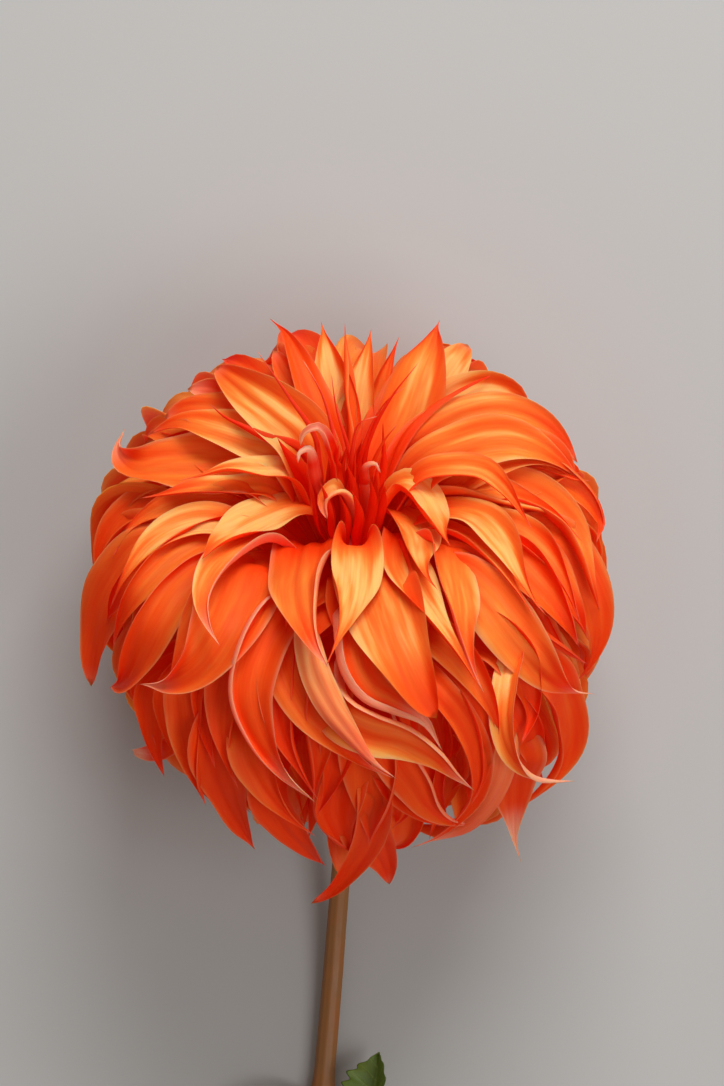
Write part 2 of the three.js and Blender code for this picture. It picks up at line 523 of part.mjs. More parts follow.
// Six bent bracts round a disc between the core and the stem.
function bractWhorl() {
  const back = distance => AXIS.clone().multiplyScalar(-distance).add(vec(0, 0, HEAD_HEIGHT));
  const front = CORE_BACK + SEAT_GAP;
  const solids = [tubeSolid([back(front), back(front + DISC_HEIGHT)], [DISC_RADIUS, STEM_TOP_RADIUS + 1], 12)];
  for (let i = 0; i < BRACTS; i++) {
    const side = headDirection(90, (i + 0.5) * 360 / BRACTS);
    const points = [[3, 1.4], [11, 2.2], [19, 5], [25, 10], [28, 15]].map(([out, down]) =>
      back(front + down).addScaledVector(side, out));
    const across = side.clone().cross(AXIS);
    solids.push(solidFromRings(points.map((point, k) => {
      const half = [2.5, 5, 6, 4, 0.5][k];
      const along = points[Math.min(k + 1, 4)].clone().sub(points[Math.max(k - 1, 0)]);
      const normal = across.clone().cross(along).normalize();
      const middle = archPoints(point, across, normal, half, [0.6, 0.6], 3);
      const upper = middle.map(p => p.clone().addScaledVector(normal, PETAL_THICKNESS / 2));
      const lower = middle.map(p => p.clone().addScaledVector(normal, -PETAL_THICKNESS / 2));
      return [...upper, ...lower.reverse()];
    })));
  }
  return wholeBody(join(solids));
}

// The stem leaves the head along its axis, curves down and lies along the table to its cut end.
function flowerStem() {
  const top = CORE_BACK + DISC_HEIGHT + 2 * SEAT_GAP;
  const start = AXIS.clone().multiplyScalar(-top).add(vec(0, 0, HEAD_HEIGHT));
  const onward = start.clone().addScaledVector(AXIS, -14);
  const curve = new THREE.CatmullRomCurve3([start, onward, ...STEM_ROUTE.map(p => vec(...p))], false, 'centripetal');
  const points = Array.from({ length: STEM_STEPS + 1 }, (_, i) => curve.getPointAt(i / STEM_STEPS));
  const radii = points.map((p, i) => THREE.MathUtils.lerp(STEM_TOP_RADIUS, STEM_END_RADIUS, i / STEM_STEPS)
    + NODE_SWELL * Math.exp(-(((p.y - NODE_Y) / 6) ** 2)));
  return wholeBody(onTable(tubeSolid(points, radii, 10)));
}

// A leaf: a round stalk fused to a toothed blade that is folded along its midrib.
function leafSolid({ stalk, midrib, stalkRadius, half, teeth, folds }) {
  const stalkCurve = new THREE.CatmullRomCurve3(stalk.map(p => vec(...p)), false, 'centripetal');
  const stalkPoints = Array.from({ length: 7 }, (_, i) => stalkCurve.getPointAt(i / 6));
  const curve = new THREE.CatmullRomCurve3(midrib.map(p => vec(...p)), false, 'centripetal');
  const steps = 2 * teeth;
  const points = Array.from({ length: steps + 1 }, (_, i) => curve.getPointAt(i / steps));
  const rings = points.map((point, i) => {
    const s = i / steps;
    const along = points[Math.min(i + 1, steps)].clone().sub(points[Math.max(i - 1, 0)]).normalize();
    const side = along.clone().cross(UP).normalize();
    const normal = side.clone().cross(along);
    const tooth = i % 2 ? 1 : 0.78;
    const width = i === steps ? 0.4 : half * tooth * (Math.sin(Math.PI * Math.min(0.97, 0.08 + 0.9 * s ** 0.8)));
    const middle = [-1, 0, 1].map(u => {
      const fold = radians(folds[u < 0 ? 0 : 1]);
      return point.clone().addScaledVector(side, u * width * Math.cos(fold))
        .addScaledVector(normal, Math.abs(u) * width * Math.sin(fold))
        .addScaledVector(along, u && i % 2 ? half * 0.18 : 0);
    });
    const upper = middle.map(p => p.clone().addScaledVector(normal, LEAF_THICKNESS / 2));
    const lower = middle.map(p => p.clone().addScaledVector(normal, -LEAF_THICKNESS / 2));
    return [...upper, ...lower.reverse()];
  });
  const stalkTube = tubeSolid(stalkPoints, stalkPoints.map(() => stalkRadius), 8);
  return wholeBody(onTable(join([stalkTube, solidFromRings(rings)])));
}

function pieceMesh(name, solid, color, roughness) {
  const { vertProperties, triVerts, numProp } = solid.getMesh();
  if (numProp !== 3) throw new Error('a solid should hold only positions');
  const geometry = new THREE.BufferGeometry();
  geometry.setAttribute('position', new THREE.BufferAttribute(vertProperties, 3));
  geometry.setIndex(new THREE.BufferAttribute(triVerts, 1));
  const mesh = new THREE.Mesh(geometry, new THREE.MeshStandardMaterial({ color, roughness, metalness: 0 }));
  mesh.name = name;
  return mesh;
}

const dahlia = new THREE.Group();
dahlia.position.y = FOOTPRINT_SHIFT;
dahlia.add(pieceMesh('ray_petals', rayPetals(), 0xf2702a, 0.55));
dahlia.add(pieceMesh('centre_florets', crownFlorets(), 0xb01a10, 0.5));
dahlia.add(pieceMesh('bracts', bractWhorl(), 0x6f8a3a, 0.6));
dahlia.add(pieceMesh('stem', flowerStem(), 0x8f4a22, 0.6));
dahlia.add(pieceMesh('leaf_right', leafSolid(RIGHT_LEAF), 0x4f6418, 0.6));
dahlia.add(pieceMesh('leaf_left', leafSolid(LEFT_LEAF), 0x4f6418, 0.6));

export default dahlia;
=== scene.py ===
"""A cut dahlia that lies on a table: an orange head of twisted petals on a curved stem with two leaves.

Everything is worked out in millimetres from the middle of the head, as the solids are, and
then moved to the frame in metres. +X is the right of the bloom, +Y points from the stem to the
crown, and +Z is up from the table.
"""

import math

import bpy
import numpy as np
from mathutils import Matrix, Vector


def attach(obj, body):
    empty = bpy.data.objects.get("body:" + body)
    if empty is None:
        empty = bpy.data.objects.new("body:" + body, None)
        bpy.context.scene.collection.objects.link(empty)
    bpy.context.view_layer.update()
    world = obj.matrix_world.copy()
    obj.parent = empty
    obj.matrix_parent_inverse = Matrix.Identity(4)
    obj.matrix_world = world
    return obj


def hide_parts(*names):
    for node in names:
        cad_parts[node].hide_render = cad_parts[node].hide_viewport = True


bl_info = {
    "name": "Dahlia flower",
    "version": (1, 0, 0),
    "blender": (4, 5, 0),
    "location": "3D View > Sidebar > Dahlia",
    "description": "Builds a cut dahlia bloom with its stem and leaves, lying on a table",
    "category": "Add Mesh",
}

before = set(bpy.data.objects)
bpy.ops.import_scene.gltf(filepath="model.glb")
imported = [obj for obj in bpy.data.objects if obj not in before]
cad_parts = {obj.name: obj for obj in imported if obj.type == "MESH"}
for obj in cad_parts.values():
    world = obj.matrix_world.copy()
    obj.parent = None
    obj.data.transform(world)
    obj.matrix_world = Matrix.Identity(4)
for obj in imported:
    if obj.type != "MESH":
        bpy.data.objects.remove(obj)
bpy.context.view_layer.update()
BODY = "root"

MM = 0.001

# Shape of the head, as in the solids, in millimetres and degrees. SOFT is the usual curl, in radians.
FOOTPRINT_SHIFT = 64.6
HEAD_HEIGHT = 88.0
HEAD_REACH = 96.0
CROWN_REACH = 26.0
CROWN_BACK_RISE = 38.0
CROWN_RIM = 72.0
BACK_RISE_FULL = 40.0
BACK_RISE_FADE = 60.0
SEARCHED_HEIGHTS = np.arange(105, -25, -1.2)
FACE_ANGLE = 40.0
CORE_RADIUS = 36.0
CORE_SETBACK = 12.0
CORE_BACK = 44.0
ROOT_DEPTH = 5.0
BURIED_ROOT = CORE_RADIUS - ROOT_DEPTH - 6
PETAL_SINK = 7.0
PETAL_PROUD = 10.0
SWAY = 1.5
TABLE_BEND = 1.2
SEAT_GAP = 0.3
GOLDEN_ANGLE = 137.508
SOFT = 0.45
TIP_WIDTH = 0.5

DOME_RADIUS = 14.0
DOME_RISE = 26.0
BALL_GRID = (40, 72)
KNOB_HEIGHT = 0.012
BUD_FLORETS = 26
BUD_SPREAD = 40.0
BUD_ROUTE = [(0, 0, -3), (0, 0, 0), (1.2, 0, 9), (-0.5, 0, 34)]

# The petals that no photo shows: what their places come from.
RULE_PETALS = 118
RULE_FIRST_POLAR = 62.0
RULE_LAST_POLAR = 166.0
RULE_CROWDING = 0.9
RULE_START_SHARE = 0.42
RULE_TIP_SCATTER = 5.0
RULE_TURN_SCATTER = 6.0
RULE_SWIRL = 14.0
RULE_DEPTH_SCATTER = 3.0
RULE_FULL_FROM = 0.6
RULE_WIDTH = 21.0
RULE_SINK = 14.0
RULE_HIDDEN_SINK = 20.0
RULE_PROUD = 13.0
RULE_PULLED_IN = 10.0
PRESSED_FROM = 0.55
PRESSED_PAST = 4.0
TOP_LIMIT = 98.0
ROUND_LIMIT = 99.0
LIMIT_STRENGTH = 0.8
NAPE_PETALS = 46
NAPE_FIRST_POLAR = 102.0
NAPE_LAST_POLAR = 168.0
NAPE_DEPTH = 0.74
NAPE_START_SHARE = 0.62
NAPE_FULL_FROM = 0.7
NAPE_PROUD = 8.0
THROAT_PETALS = 16
THROAT_START = 18.0
THROAT_FIRST_POLAR = 24.0
THROAT_LAST_POLAR = 68.0
THROAT_SINK = 15.0
THROAT_PROUD = 3.0

# Rows along a petal and columns from its midrib to an edge.
PLACED_GRID = (44, 9)
RULE_GRID = (28, 7)
FLORET_GRID = (44, 8)
BUD_GRID = (16, 5)

# Rows move towards the middle of a petal by up to this share. Only what leans past this angle, in
# radians, may face away from the petal's own normal.
CLOSER_ROWS = 0.035
ROLLED_OVER = 1.4

# Shares: how much thinner a petal is at its edges and its tip, and where its tip starts to roll.
EDGE_THINNING = 0.45
TIP_THINNING = 0.5
TIP_ROLL_FROM = 0.6

# Painted light and shade: how the side that a petal's facet turns to changes its colour, gold as a painted
# highlight where it faces the key light, and red as painted shade where it faces away.
SHADE_GOLD = -0.7
LIGHT_GOLD = (0.3, 0.9)
SHADE_RED = 0.3

# The least heights of the two sides of what comes down on the table.
UPPER_FLOOR = 0.35
LEAF_UPPER_FLOOR = 0.3
LOWER_FLOOR = 0.05

# Columns of the marks that corners carry for the materials. A leaf has its veins in place of the gold.
ACROSS, ALONG, BACK, GOLD, BLUSH, DEEP, SIDE, RUN, SEED = range(9)
MARKS = 9
VEIN = GOLD

# Patterns of the petals: cells of noise per metre across and along, how far they move on from petal
# to petal, and the least half width that they count with, as a share of the width.
FINE_LINES = (1000.0, 40.0)
STREAKS = (260.0, 28.0)
PATTERN_STEP = 0.37
PATTERN_LEAST = 0.12

# Where each kind of petal starts to number the draws for its variation.
RULE_SEED = 200
THROAT_SEED = 350
FLORET_SEED = 400
BUD_SEED = 480
NAPE_SEED = 520

# What a petal's own row may change. The belly is where it is widest. The belly, hold, release and
# hem_start are shares of its length, claw and hem_from are shares of its width, and gutter, tip_roll
# and hems are angles in radians: the gutter is how far the root is rolled up, as long as it holds.
# Shaded is how much of the painted light and shade of its facets a petal takes.
PETAL_DEFAULTS = {
    "belly": 0.54, "claw": 0.42, "point": 1.25, "facing": 0.8, "gutter": 1.0, "hold": 0.0, "release": 0.35,
    "tip_roll": 1.1, "hems": (0, 0), "hem_start": 0, "hem_from": 0.4, "waves": 1.6, "shaded": 1.0,
}

DISC_RADIUS = 12.0
DISC_HEIGHT = 3.6
DISC_SIDES = 48
BRACTS = 6
BRACT_ROUTE = [(3, 0, -1.4), (11, 0, -2.2), (19, 0, -5), (25, 0, -10), (28, 0, -15)]
BRACT_HALF_WIDTHS = ([0, 0.25, 0.5, 0.78, 1], [2.5, 5, 6, 4, 0.35])
BRACT_ROWS = 21
BRACT_COLUMNS = 13

STEM_TOP_RADIUS = 3.3
STEM_END_RADIUS = 4.3
STEM_STRAIGHT = 14.0
STEM_STEPS = 120
STALK_STEPS = 40
STALK_TAPER = (1.15, 0.9)
# Radius and height of each ring of the disc.
DISC_PROFILE = [(DISC_RADIUS * 0.98, 0.0), (DISC_RADIUS, -0.5), (9.5, -1.6), (6.5, -2.4), (4.9, -3.1),
                (STEM_TOP_RADIUS + 0.8, -DISC_HEIGHT)]
STEM_ROUTE = [
    (-1.2, -74, 28), (-2.6, -94, 18), (-4.4, -116, 11), (-6.8, -147, 6), (-9.7, -181, 4.3), (-13, -228, 4.1),
]
NODE_Y = -191.0
NODE_SWELL = 1.2

RIGHT_LEAF = {
    "stalk": [(-4.9, -193, 5.5), (-1, -197, 9), (4, -199, 12), (7.5, -196, 13.5)],
    "midrib": [(7.5, -196.5, 13.5), (9.5, -189, 15), (11, -181, 15), (11.5, -172.2, 13.5)],
    "stalk_radius": 1.3, "half": 14, "teeth": 5, "folds": (8, 75),
}
LEFT_LEAF = {
    "stalk": [(-15.6, -190, 6), (-22, -188, 9.5), (-31, -188.5, 12), (-41, -194, 12), (-50, -204, 8)],
    "midrib": [(-49.5, -203.5, 8), (-58, -214, 5.5), (-66, -226, 4), (-73, -239, 2.2)],
    "stalk_radius": 1.5, "half": 15, "teeth": 8, "folds": (6, 6),
}

ROWS_PER_TOOTH = 24
LEAF_HALF_COLUMNS = 14
TOOTH_TIP = 0.62
VEIN_WIDTH = 0.17
VEIN_DEPTH = 0.35
LEAF_BODY = 0.22
RIB_BODY = 0.25

# The stage: the middle of the picture in millimetres, then places and sizes in metres.
VIEW_MIDDLE = (4.9, 26.2)
FLOOR_REACH = 8.0
KEY_LIGHT = ((0.3, 1.5, 1.35), (1.1, 0.8))
FILL_LIGHT = ((1.2, -0.5, 2.0), (1.2, 1.2))
ROOM_TINT = (1.0, 0.95, 0.88)

AXIS = np.array([0, math.cos(math.radians(FACE_ANGLE)), math.sin(math.radians(FACE_ANGLE))])
FRONT = np.array([0, -math.sin(math.radians(FACE_ANGLE)), math.cos(math.radians(FACE_ANGLE))])
RIGHT = np.array([1.0, 0, 0])
UP = np.array([0, 0, 1.0])
CORE = -CORE_SETBACK * AXIS
# Roughly the way towards the key light, that the petals' painted light and shade are worked out from.
LIT_SIDE = np.array([0.2, 0.62, 0.76])


def smooth(t):
    t = np.clip(t, 0, 1)
    return t * t * (3 - 2 * t)


def vary(i, k):
    """Repeatable variation between -1 and 1 for petal number i."""
    s = math.sin(i * 12.9898 + k * 78.233) * 43758.5453
    return 2 * (s - math.floor(s)) - 1


def petal(path, width, curls=(SOFT, SOFT), roll=0, twist=0, lift=0, gold=None, blush=0.32, deep=0.0, **form):
    """A placed petal. The path is x, y pairs from the crown to the tip, seen from above; gold and
    blush say how yellow its face and how pink its back, edges and tip are, and deep how red it is.
    The gold is partly the petal's own yellow and partly painted highlight, and the red partly its own
    and partly painted shade. With no gold given, a petal is painted more gold the further it lies
    towards +Y, where the key light falls from: painted light.
    Soft curls and a twist of 0 leave both to the petal's own variation."""
    # Painted light: with no gold given, petals towards +Y, where the key light falls, are painted more gold.
    if gold is None:
        middle_y = path[len(path) // 4 * 2 + 1]
        gold = 0.2 + 0.35 * float(smooth((middle_y + 50) / 110))
    return {"path": path, "width": width, "curls": curls, "roll": roll, "twist": twist, "lift": lift,
            "gold": gold, "blush": blush, "deep": deep, **form}


def broad(path, width, gold, heights=(), curls=(0.3, 0.3), **form):
    """A placed petal that is nearly flat and not twisted, at given heights where it has them."""
    return petal(path, width, curls, 0, 1, gold=gold, heights=heights, **form)


def floret(path, width, start, end, gold=0.2, blush=0.1, deep=0.7, **form):
    """A young floret of the crown: start and end say how far its two ends stand in front of the
    plane through the axis. Its deep red by default is painted shade in the crown."""
    return {"path": path, "start": start, "end": end,
            "form": {"width": width, "gold": gold, "blush": blush, "deep": deep, **form}}


CROWN_PETALS = [
    petal([2, 19, 2, 25, 2, 21, 1, 10, -2, -2, -5, -11, -8, -20], 20, (0.45, 0.45), 0, -30, 7, 0.85, 0.2,
          heights=(34, 50, 62, 76), claw=0.85, belly=0.52, gutter=1.6, hold=0.25, release=0.25, ridge=0.03,
          point=2.2, tip_roll=0.6),
    petal([-13, 26, -17, 18, -19, 8, -17, -4, -13, -13, -8, -20], 24, (0.4, 0.3), 0, 10, 9, 0.45, 0.6, 0.05,
          hems=(1.9, 0), hem_from=0.62, hem_start=0.35, claw=0.8, belly=0.45, point=1.0),
    broad([8, 22, 10, 10, 16, -5, 22, -18, 28, -30, 33, -38], 30, 0.6, curls=(0.3, 0.4), lift=5, blush=0.1,
          deep=0.12, hems=(0.6, 0), point=0.65, tip_roll=0.5),
    petal([18, 30, 20, 18, 27, 6, 34, -4, 42, -15, 50, -28], 17, (0.2, 0.9), 0, -30, 5, 0.8, 0.2),
    petal([8, 38, 17, 38, 24, 31, 27, 21, 30, 14, 34, 9], 17, (0.3, 1), 0, 0, 9, 0.8, 0.2),
    petal([14, 42, 20, 48, 26, 44, 30, 37, 34, 30, 38, 25], 16, (0.2, 1.6), 0, 0, 11, 0.9, 0.2),
    petal([34, 26, 38, 15, 41, 4, 43, -8, 46, -18, 51, -29], 18, (0.2, 1.2), 0, 0, 3, 0.5, 0.6),
    petal([-10, 38, -20, 40, -31, 36, -42, 30, -50, 25, -55, 20], 21, (0.3, 0.3), 15, 0, 9, 1.0, 0.2),
    petal([-30, 28, -42, 23, -50, 15, -53, 5, -51, -4, -47, -11], 14, (1.9, 0.2), 0, 0, 8, 0.6, 0.8),
    petal([-36, 17, -41, 7, -47, -6, -55, -19, -66, -27, -79, -28], 29, (0.2, 0.4), 0, 0, 0, 0.35, 0.8,
          hems=(0.2, 1.7), hem_start=0.45, claw=0.3),
]
LEFT_PETALS = [
    petal([-44, 12, -54, 0, -60, -12, -64, -22, -66, -30], 16, lift=-3, gold=0.45),
    petal([-52, 18, -64, 10, -73, -3, -78, -14, -83, -25, -90, -30], 18, twist=60, gold=0.4, blush=0.4,
          belly=0.6, point=1.2),
    broad([-76, 24, -87, 12, -93, 0, -96, -13, -98, -28], 19, 0.4, (30, 26, 20, 13, 6), belly=0.66,
          point=0.65, tip_roll=0.6, facing=1.6),
    petal([-48, 33, -62, 32, -74, 25, -84, 13, -90, 2], 15, roll=15, lift=5, gold=0.85),
    petal([-40, 30, -54, 28, -67, 20, -79, 7, -86, -5, -89, -14], 17, gold=0.5),
    petal([-70, 44, -84, 37, -92, 26, -95, 12, -96, 2], 15, lift=-4, gold=0.2),
    petal([-38, 42, -55, 42, -70, 39, -82, 32, -90, 20], 16, lift=-3, gold=0.5),
    petal([-28, 46, -44, 47, -58, 46, -70, 44, -79, 43], 12, (0.9, 0.3), lift=2, gold=0.5),
    petal([-22, 52, -34, 54, -46, 54, -56, 51, -64, 49], 12, (1, 0.4), 10, lift=10, gold=0.9),
    petal([-18, 60, -30, 65, -40, 70, -48, 74, -53, 78], 6, (1.2, 1.2), 120, lift=13, gold=0.2, deep=0.65),
    broad([-24, 60, -38, 65, -52, 69, -64, 71, -76, 67], 19, 0.75, (23, 23, 22, 18, 11), curls=(0.6, 0.3),
          point=1.0, facing=1.2),
    petal([-36, 53, -54, 56, -68, 56, -80, 56, -87, 63, -85, 70], 27, gold=0.4, blush=0.7),
]
TOP_PETALS = [
    broad([-22, 62, -36, 69, -48, 75, -60, 77, -70, 74], 22, 0.5, (20, 19, 16, 12, 8), curls=(0.1, 0.3),
          point=0.7, tip_roll=0.6, facing=1.4),
    broad([-17, 66, -27, 76, -36, 83, -44, 89, -50, 93], 22, 0.8, (29, 28, 24, 18, 12), curls=(0.3, 0.6),
          point=0.6, tip_roll=0.6, facing=1.4),
    broad([-12, 74, -20, 85, -26, 93, -30, 99], 17, 0.7, lift=-2, point=0.6, tip_roll=0.6),
    petal([-10, 72, -16, 86, -21, 97, -25, 105, -31, 112], 13, (1, 0.3), lift=6, gold=0.2),
    petal([-5, 72, -7, 86, -9, 99, -10, 111], 22, lift=-2, gold=1.1),
    petal([0, 72, -2, 86, -2, 98, -1, 110], 9, roll=60, lift=3, gold=0.3),
    petal([3, 74, 5, 88, 7, 99, 8, 108], 18, lift=-3, gold=1.4),
    petal([12, 80, 15, 90, 18, 99, 20, 105], 15, lift=-6, gold=0.5),
    petal([14, 58, 21, 74, 27, 90, 32, 101, 36, 111], 25, lift=2, gold=0.6),
    broad([22, 66, 32, 82, 40, 94, 45, 102], 20, 1.5, lift=-2, point=0.55, tip_roll=0.4),
    broad([24, 58, 34, 71, 44, 79, 54, 82, 62, 80, 67, 74], 25, 1.6, (10, 11, 13, 13, 12, 10),
          curls=(0.3, 0.05), point=0.6, tip_roll=0.5, facing=1.6),
    petal([20, 64, 30, 76, 40, 83, 49, 88, 56, 91], 6, (1.2, 1.2), 130, lift=8, gold=0.2, deep=0.45),
    petal([48, 66, 58, 71, 67, 71, 75, 65], 16, lift=-9, gold=0.5),
]
RIGHT_PETALS = [
    broad([26, 60, 36, 68, 48, 73, 60, 74, 72, 70, 81, 63, 87, 56], 21, 0.5, (21, 21, 19, 17, 15, 12, 8),
          curls=(0.3, 0.1), point=0.9, tip_roll=0.6, facing=1.4),
    broad([28, 55, 42, 62, 56, 65, 68, 63, 79, 57, 87, 50], 19, 0.6, (25, 26, 26, 24, 19, 12), point=1.0,
          facing=1.2),
    petal([26, 51, 38, 54, 50, 53, 59, 46, 65, 38, 69, 31], 13, (0.3, 1.3), lift=12, gold=0.6, blush=0.3),
    petal([26, 44, 40, 47, 52, 45, 64, 41, 78, 36, 88, 27], 15, gold=0.6),
    petal([26, 36, 38, 39, 49, 36, 58, 26, 64, 13, 69, 3, 73, -2], 15, (0.9, 0.2), lift=7, gold=0.8),
    petal([30, 32, 43, 29, 54, 20, 62, 8, 69, -4], 9, lift=2, gold=0.5),
    petal([38, 16, 49, 8, 58, -4, 67, -16, 76, -26, 84, -30, 93, -31], 21, (0.3, 0.2), 0, 90, 3, 0.5, 0.7,
          heights=(54, 61, 66, 64, 54, 43, 32)),
    petal([66, -2, 74, -8, 82, -13, 90, -18], 7, (1, 1), 70, gold=0.1, deep=0.2),
    petal([52, 32, 65, 29, 75, 20, 82, 9, 87, -3], 15, lift=1, gold=0.5),
    petal([58, 46, 72, 42, 82, 33, 88, 21, 92, 9, 95, 1], 17, lift=1, gold=0.5),
    broad([76, 28, 86, 18, 92, 5, 94, -8, 91, -20, 84, -29], 20, 0.25, (27, 25, 21, 15, 9, 4), facing=1.6),
    petal([72, 54, 84, 49, 92, 42, 96, 33, 94, 25], 15, lift=-1, gold=0.3),
    petal([68, 56, 78, 53, 86, 50, 92, 50], 8, gold=0.3),
    broad([38, 52, 50, 59, 62, 62, 73, 61, 81, 56, 86, 48], 20, 0.45, (21, 22, 21, 20, 16, 10),
          curls=(0.05, 0.5), point=0.8, tip_roll=0.6, facing=1.2),
    petal([58, 22, 70, 12, 80, -2, 86, -14], 20, lift=-5, gold=0.25),
]
LOWER_RIGHT_PETALS = [
    petal([60, -14, 59, -26, 58, -38, 61, -51, 68, -60, 76, -63, 85, -64], 11, (1.1, 1.1), 40, 70, 8, 1.0,
          0.8, -0.8, heights=(58, 66, 67, 62, 52, 44, 38), claw=0.6),
    petal([72, -22, 80, -36, 82, -50, 78, -60, 69, -70, 60, -77], 19, lift=-1, gold=0.45, hems=(0.2, 0.8),
          heights=(50, 33, 18, 10, 5, 2)),
    broad([62, -54, 61, -66, 61, -78, 62, -87, 65, -96], 24, 0.3, (38, 24, 11, 3, -2), lift=-4, blush=1.0,
          belly=0.46, point=1.7),
    petal([58, -12, 66, -26, 68, -38, 64, -50], 20, lift=-5, gold=0.2, deep=0.15),
    petal([62, -36, 68, -48, 73, -60, 76, -66], 14, lift=-6, gold=0.2, deep=0.2),
    petal([32, -28, 41, -40, 47, -54, 47, -68, 40, -79, 31, -86, 23, -89], 12, twist=40, gold=0.3,
          blush=0.5),
    petal([58, -42, 60, -53, 58, -64, 53, -74, 45, -82, 29, -87], 15, (0.7, 0.7), 165, 0, 6, 0.9, 0.55,
          point=1.0, claw=0.2, belly=0.62, heights=(50, 47, 41, 35, 29, 24)),
    petal([44, -26, 50, -38, 52, -50, 51, -62, 46, -72], 12, lift=-1, gold=0.2),
    petal([34, -8, 43, -18, 50, -30, 54, -42, 54, -52], 15, gold=0.4),
    petal([14, -44, 20, -54, 26, -63, 31, -72, 38, -78, 47, -81], 18, (0.8, 0.2), 0, 0, -1.5, 0.3, 0.6,
          hems=(1.6, 0)),
    petal([-2, -36, 8, -42, 20, -46, 31, -53, 39, -61, 46, -67], 20, (0.9, 0.2), 0, 0, 3, 0.5, 0.7,
          hems=(1.4, 0)),
    petal([-1, -6, 1, -20, 7, -29, 17, -34, 28, -39, 36, -50], 20, (0.2, 0.5), 0, 0, 2, 0.3, 0.95,
          hems=(0, 2.5), hem_from=0.2),
]
LOWER_LEFT_PETALS = [
    petal([-15, -8, -13, -22, -7, -35, 1, -46, 9, -55, 18, -61], 11, (0.5, 0.5), 175, 0, 5.5, 0.7, 0.57,
          claw=0.2, belly=0.66),
    petal([-22, -6, -21, -20, -15, -34, -5, -47, 6, -57, 16, -62], 19, (0.5, 0.3), lift=-2.5, gold=0.3,
          blush=0.5, hems=(1.6, 0)),
    petal([-26, 0, -34, -14, -38, -30, -34, -46, -25, -60, -13, -71], 21, (0.3, 0.6), lift=1, gold=0.2,
          blush=0.8, hems=(0, 2.3)),
    petal([-24, -12, -26, -30, -24, -46, -18, -60, -12, -70], 16, lift=-4, gold=0.1, deep=0.3),
    petal([-10, -30, -12, -44, -12, -58, -12, -72], 20, lift=-4, gold=0.15),
    petal([-2, -40, -4, -54, -8, -66, -14, -76], 17, lift=-6, gold=0.1, deep=0.2),
    petal([8, -44, 9, -58, 9, -72, 8, -88], 26, lift=-8, gold=0.35),
    petal([-4, -60, -6, -72, -2, -84, 4, -92], 22, lift=-10, gold=0.3, deep=0.1),
    petal([9, -66, 8, -78, 5, -88, 0, -97, -6, -105, -14, -111], 13, (0.7, 0.7), 0, 30, -5, 0.4, point=0.6,
          heights=(57, 45, 30, 16, 7, 1)),
    broad([6, -78, 10, -88, 13, -96, 14, -104], 18, 0.3, (36, 21, 7, -4), lift=-12, point=0.8),
    petal([24, -64, 22, -74, 15, -81], 9, lift=-12, gold=0.1, deep=0.3),
    petal([16, -58, 22, -68, 29, -76, 38, -80], 17, lift=-8, gold=0.1, deep=0.2),
    petal([-30, -66, -24, -79, -16, -89, -8, -97], 16, lift=-6, gold=0.1),
    petal([-36, -48, -31, -62, -22, -75, -12, -84], 17, lift=-1, gold=0.25),
    petal([-48, -44, -47, -60, -42, -75, -36, -90], 21, lift=-3, gold=0.25, point=1.1,
          heights=(59, 49, 32, 9)),
    petal([-60, -46, -58, -57, -54, -67, -46, -75], 13, lift=-8, gold=0.1),
    petal([-60, -26, -61, -40, -58, -56, -53, -73], 16, gold=0.3, point=1.1),
    petal([-66, -28, -67, -40, -63, -52, -57, -61], 14, lift=-3, gold=0.25),
    petal([-73, -28, -74, -40, -73, -51, -70, -62], 14, lift=-4, gold=0.25, point=1.0, facing=1.6),
    petal([-79, -26, -78, -36, -75, -44, -73, -50], 12, lift=-7, gold=0.2),
    broad([-66, -50, -74, -53, -83, -52], 7, 0.1, curls=(0.4, 0.4), lift=-8, blush=0.9, belly=0.7,
          point=0.45, facing=2.0),
    petal([-50, -26, -52, -42, -50, -58], 17, lift=-5, gold=0.15, deep=0.2),
    petal([-42, -20, -46, -38, -44, -54, -40, -66], 18, lift=-3, gold=0.2, deep=0.1),
]
# Petals that fill the gaps under the others; they are painted redder, as painted shade.
FILLING_PETALS = [
    *(petal(path, width, lift=lift, deep=0.2) for path, width, lift in (
        ([28, 48, 42, 61, 54, 71, 65, 74], 24, -11),
        ([38, 44, 57, 54, 72, 57, 83, 52], 24, -11),
        ([44, 34, 64, 38, 80, 36, 89, 25], 24, -11),
        ([54, 20, 70, 16, 83, 3, 91, -10], 24, -14),
        ([20, 56, 31, 73, 41, 86, 48, 92], 22, -11),
        ([-32, 46, -50, 58, -65, 65, -75, 64], 24, -11),
        ([-44, 36, -66, 42, -81, 40, -89, 28], 24, -11),
        ([-22, 58, -34, 73, -45, 82, -54, 84], 22, -11),
        ([-52, 20, -70, 18, -83, 8, -92, -6], 24, -11),
    )),
    broad([-30, 68, -42, 78, -52, 84, -61, 85], 22, 0.3, (14, 11, 8, 5), blush=0.6, point=0.7, facing=1.6),
]
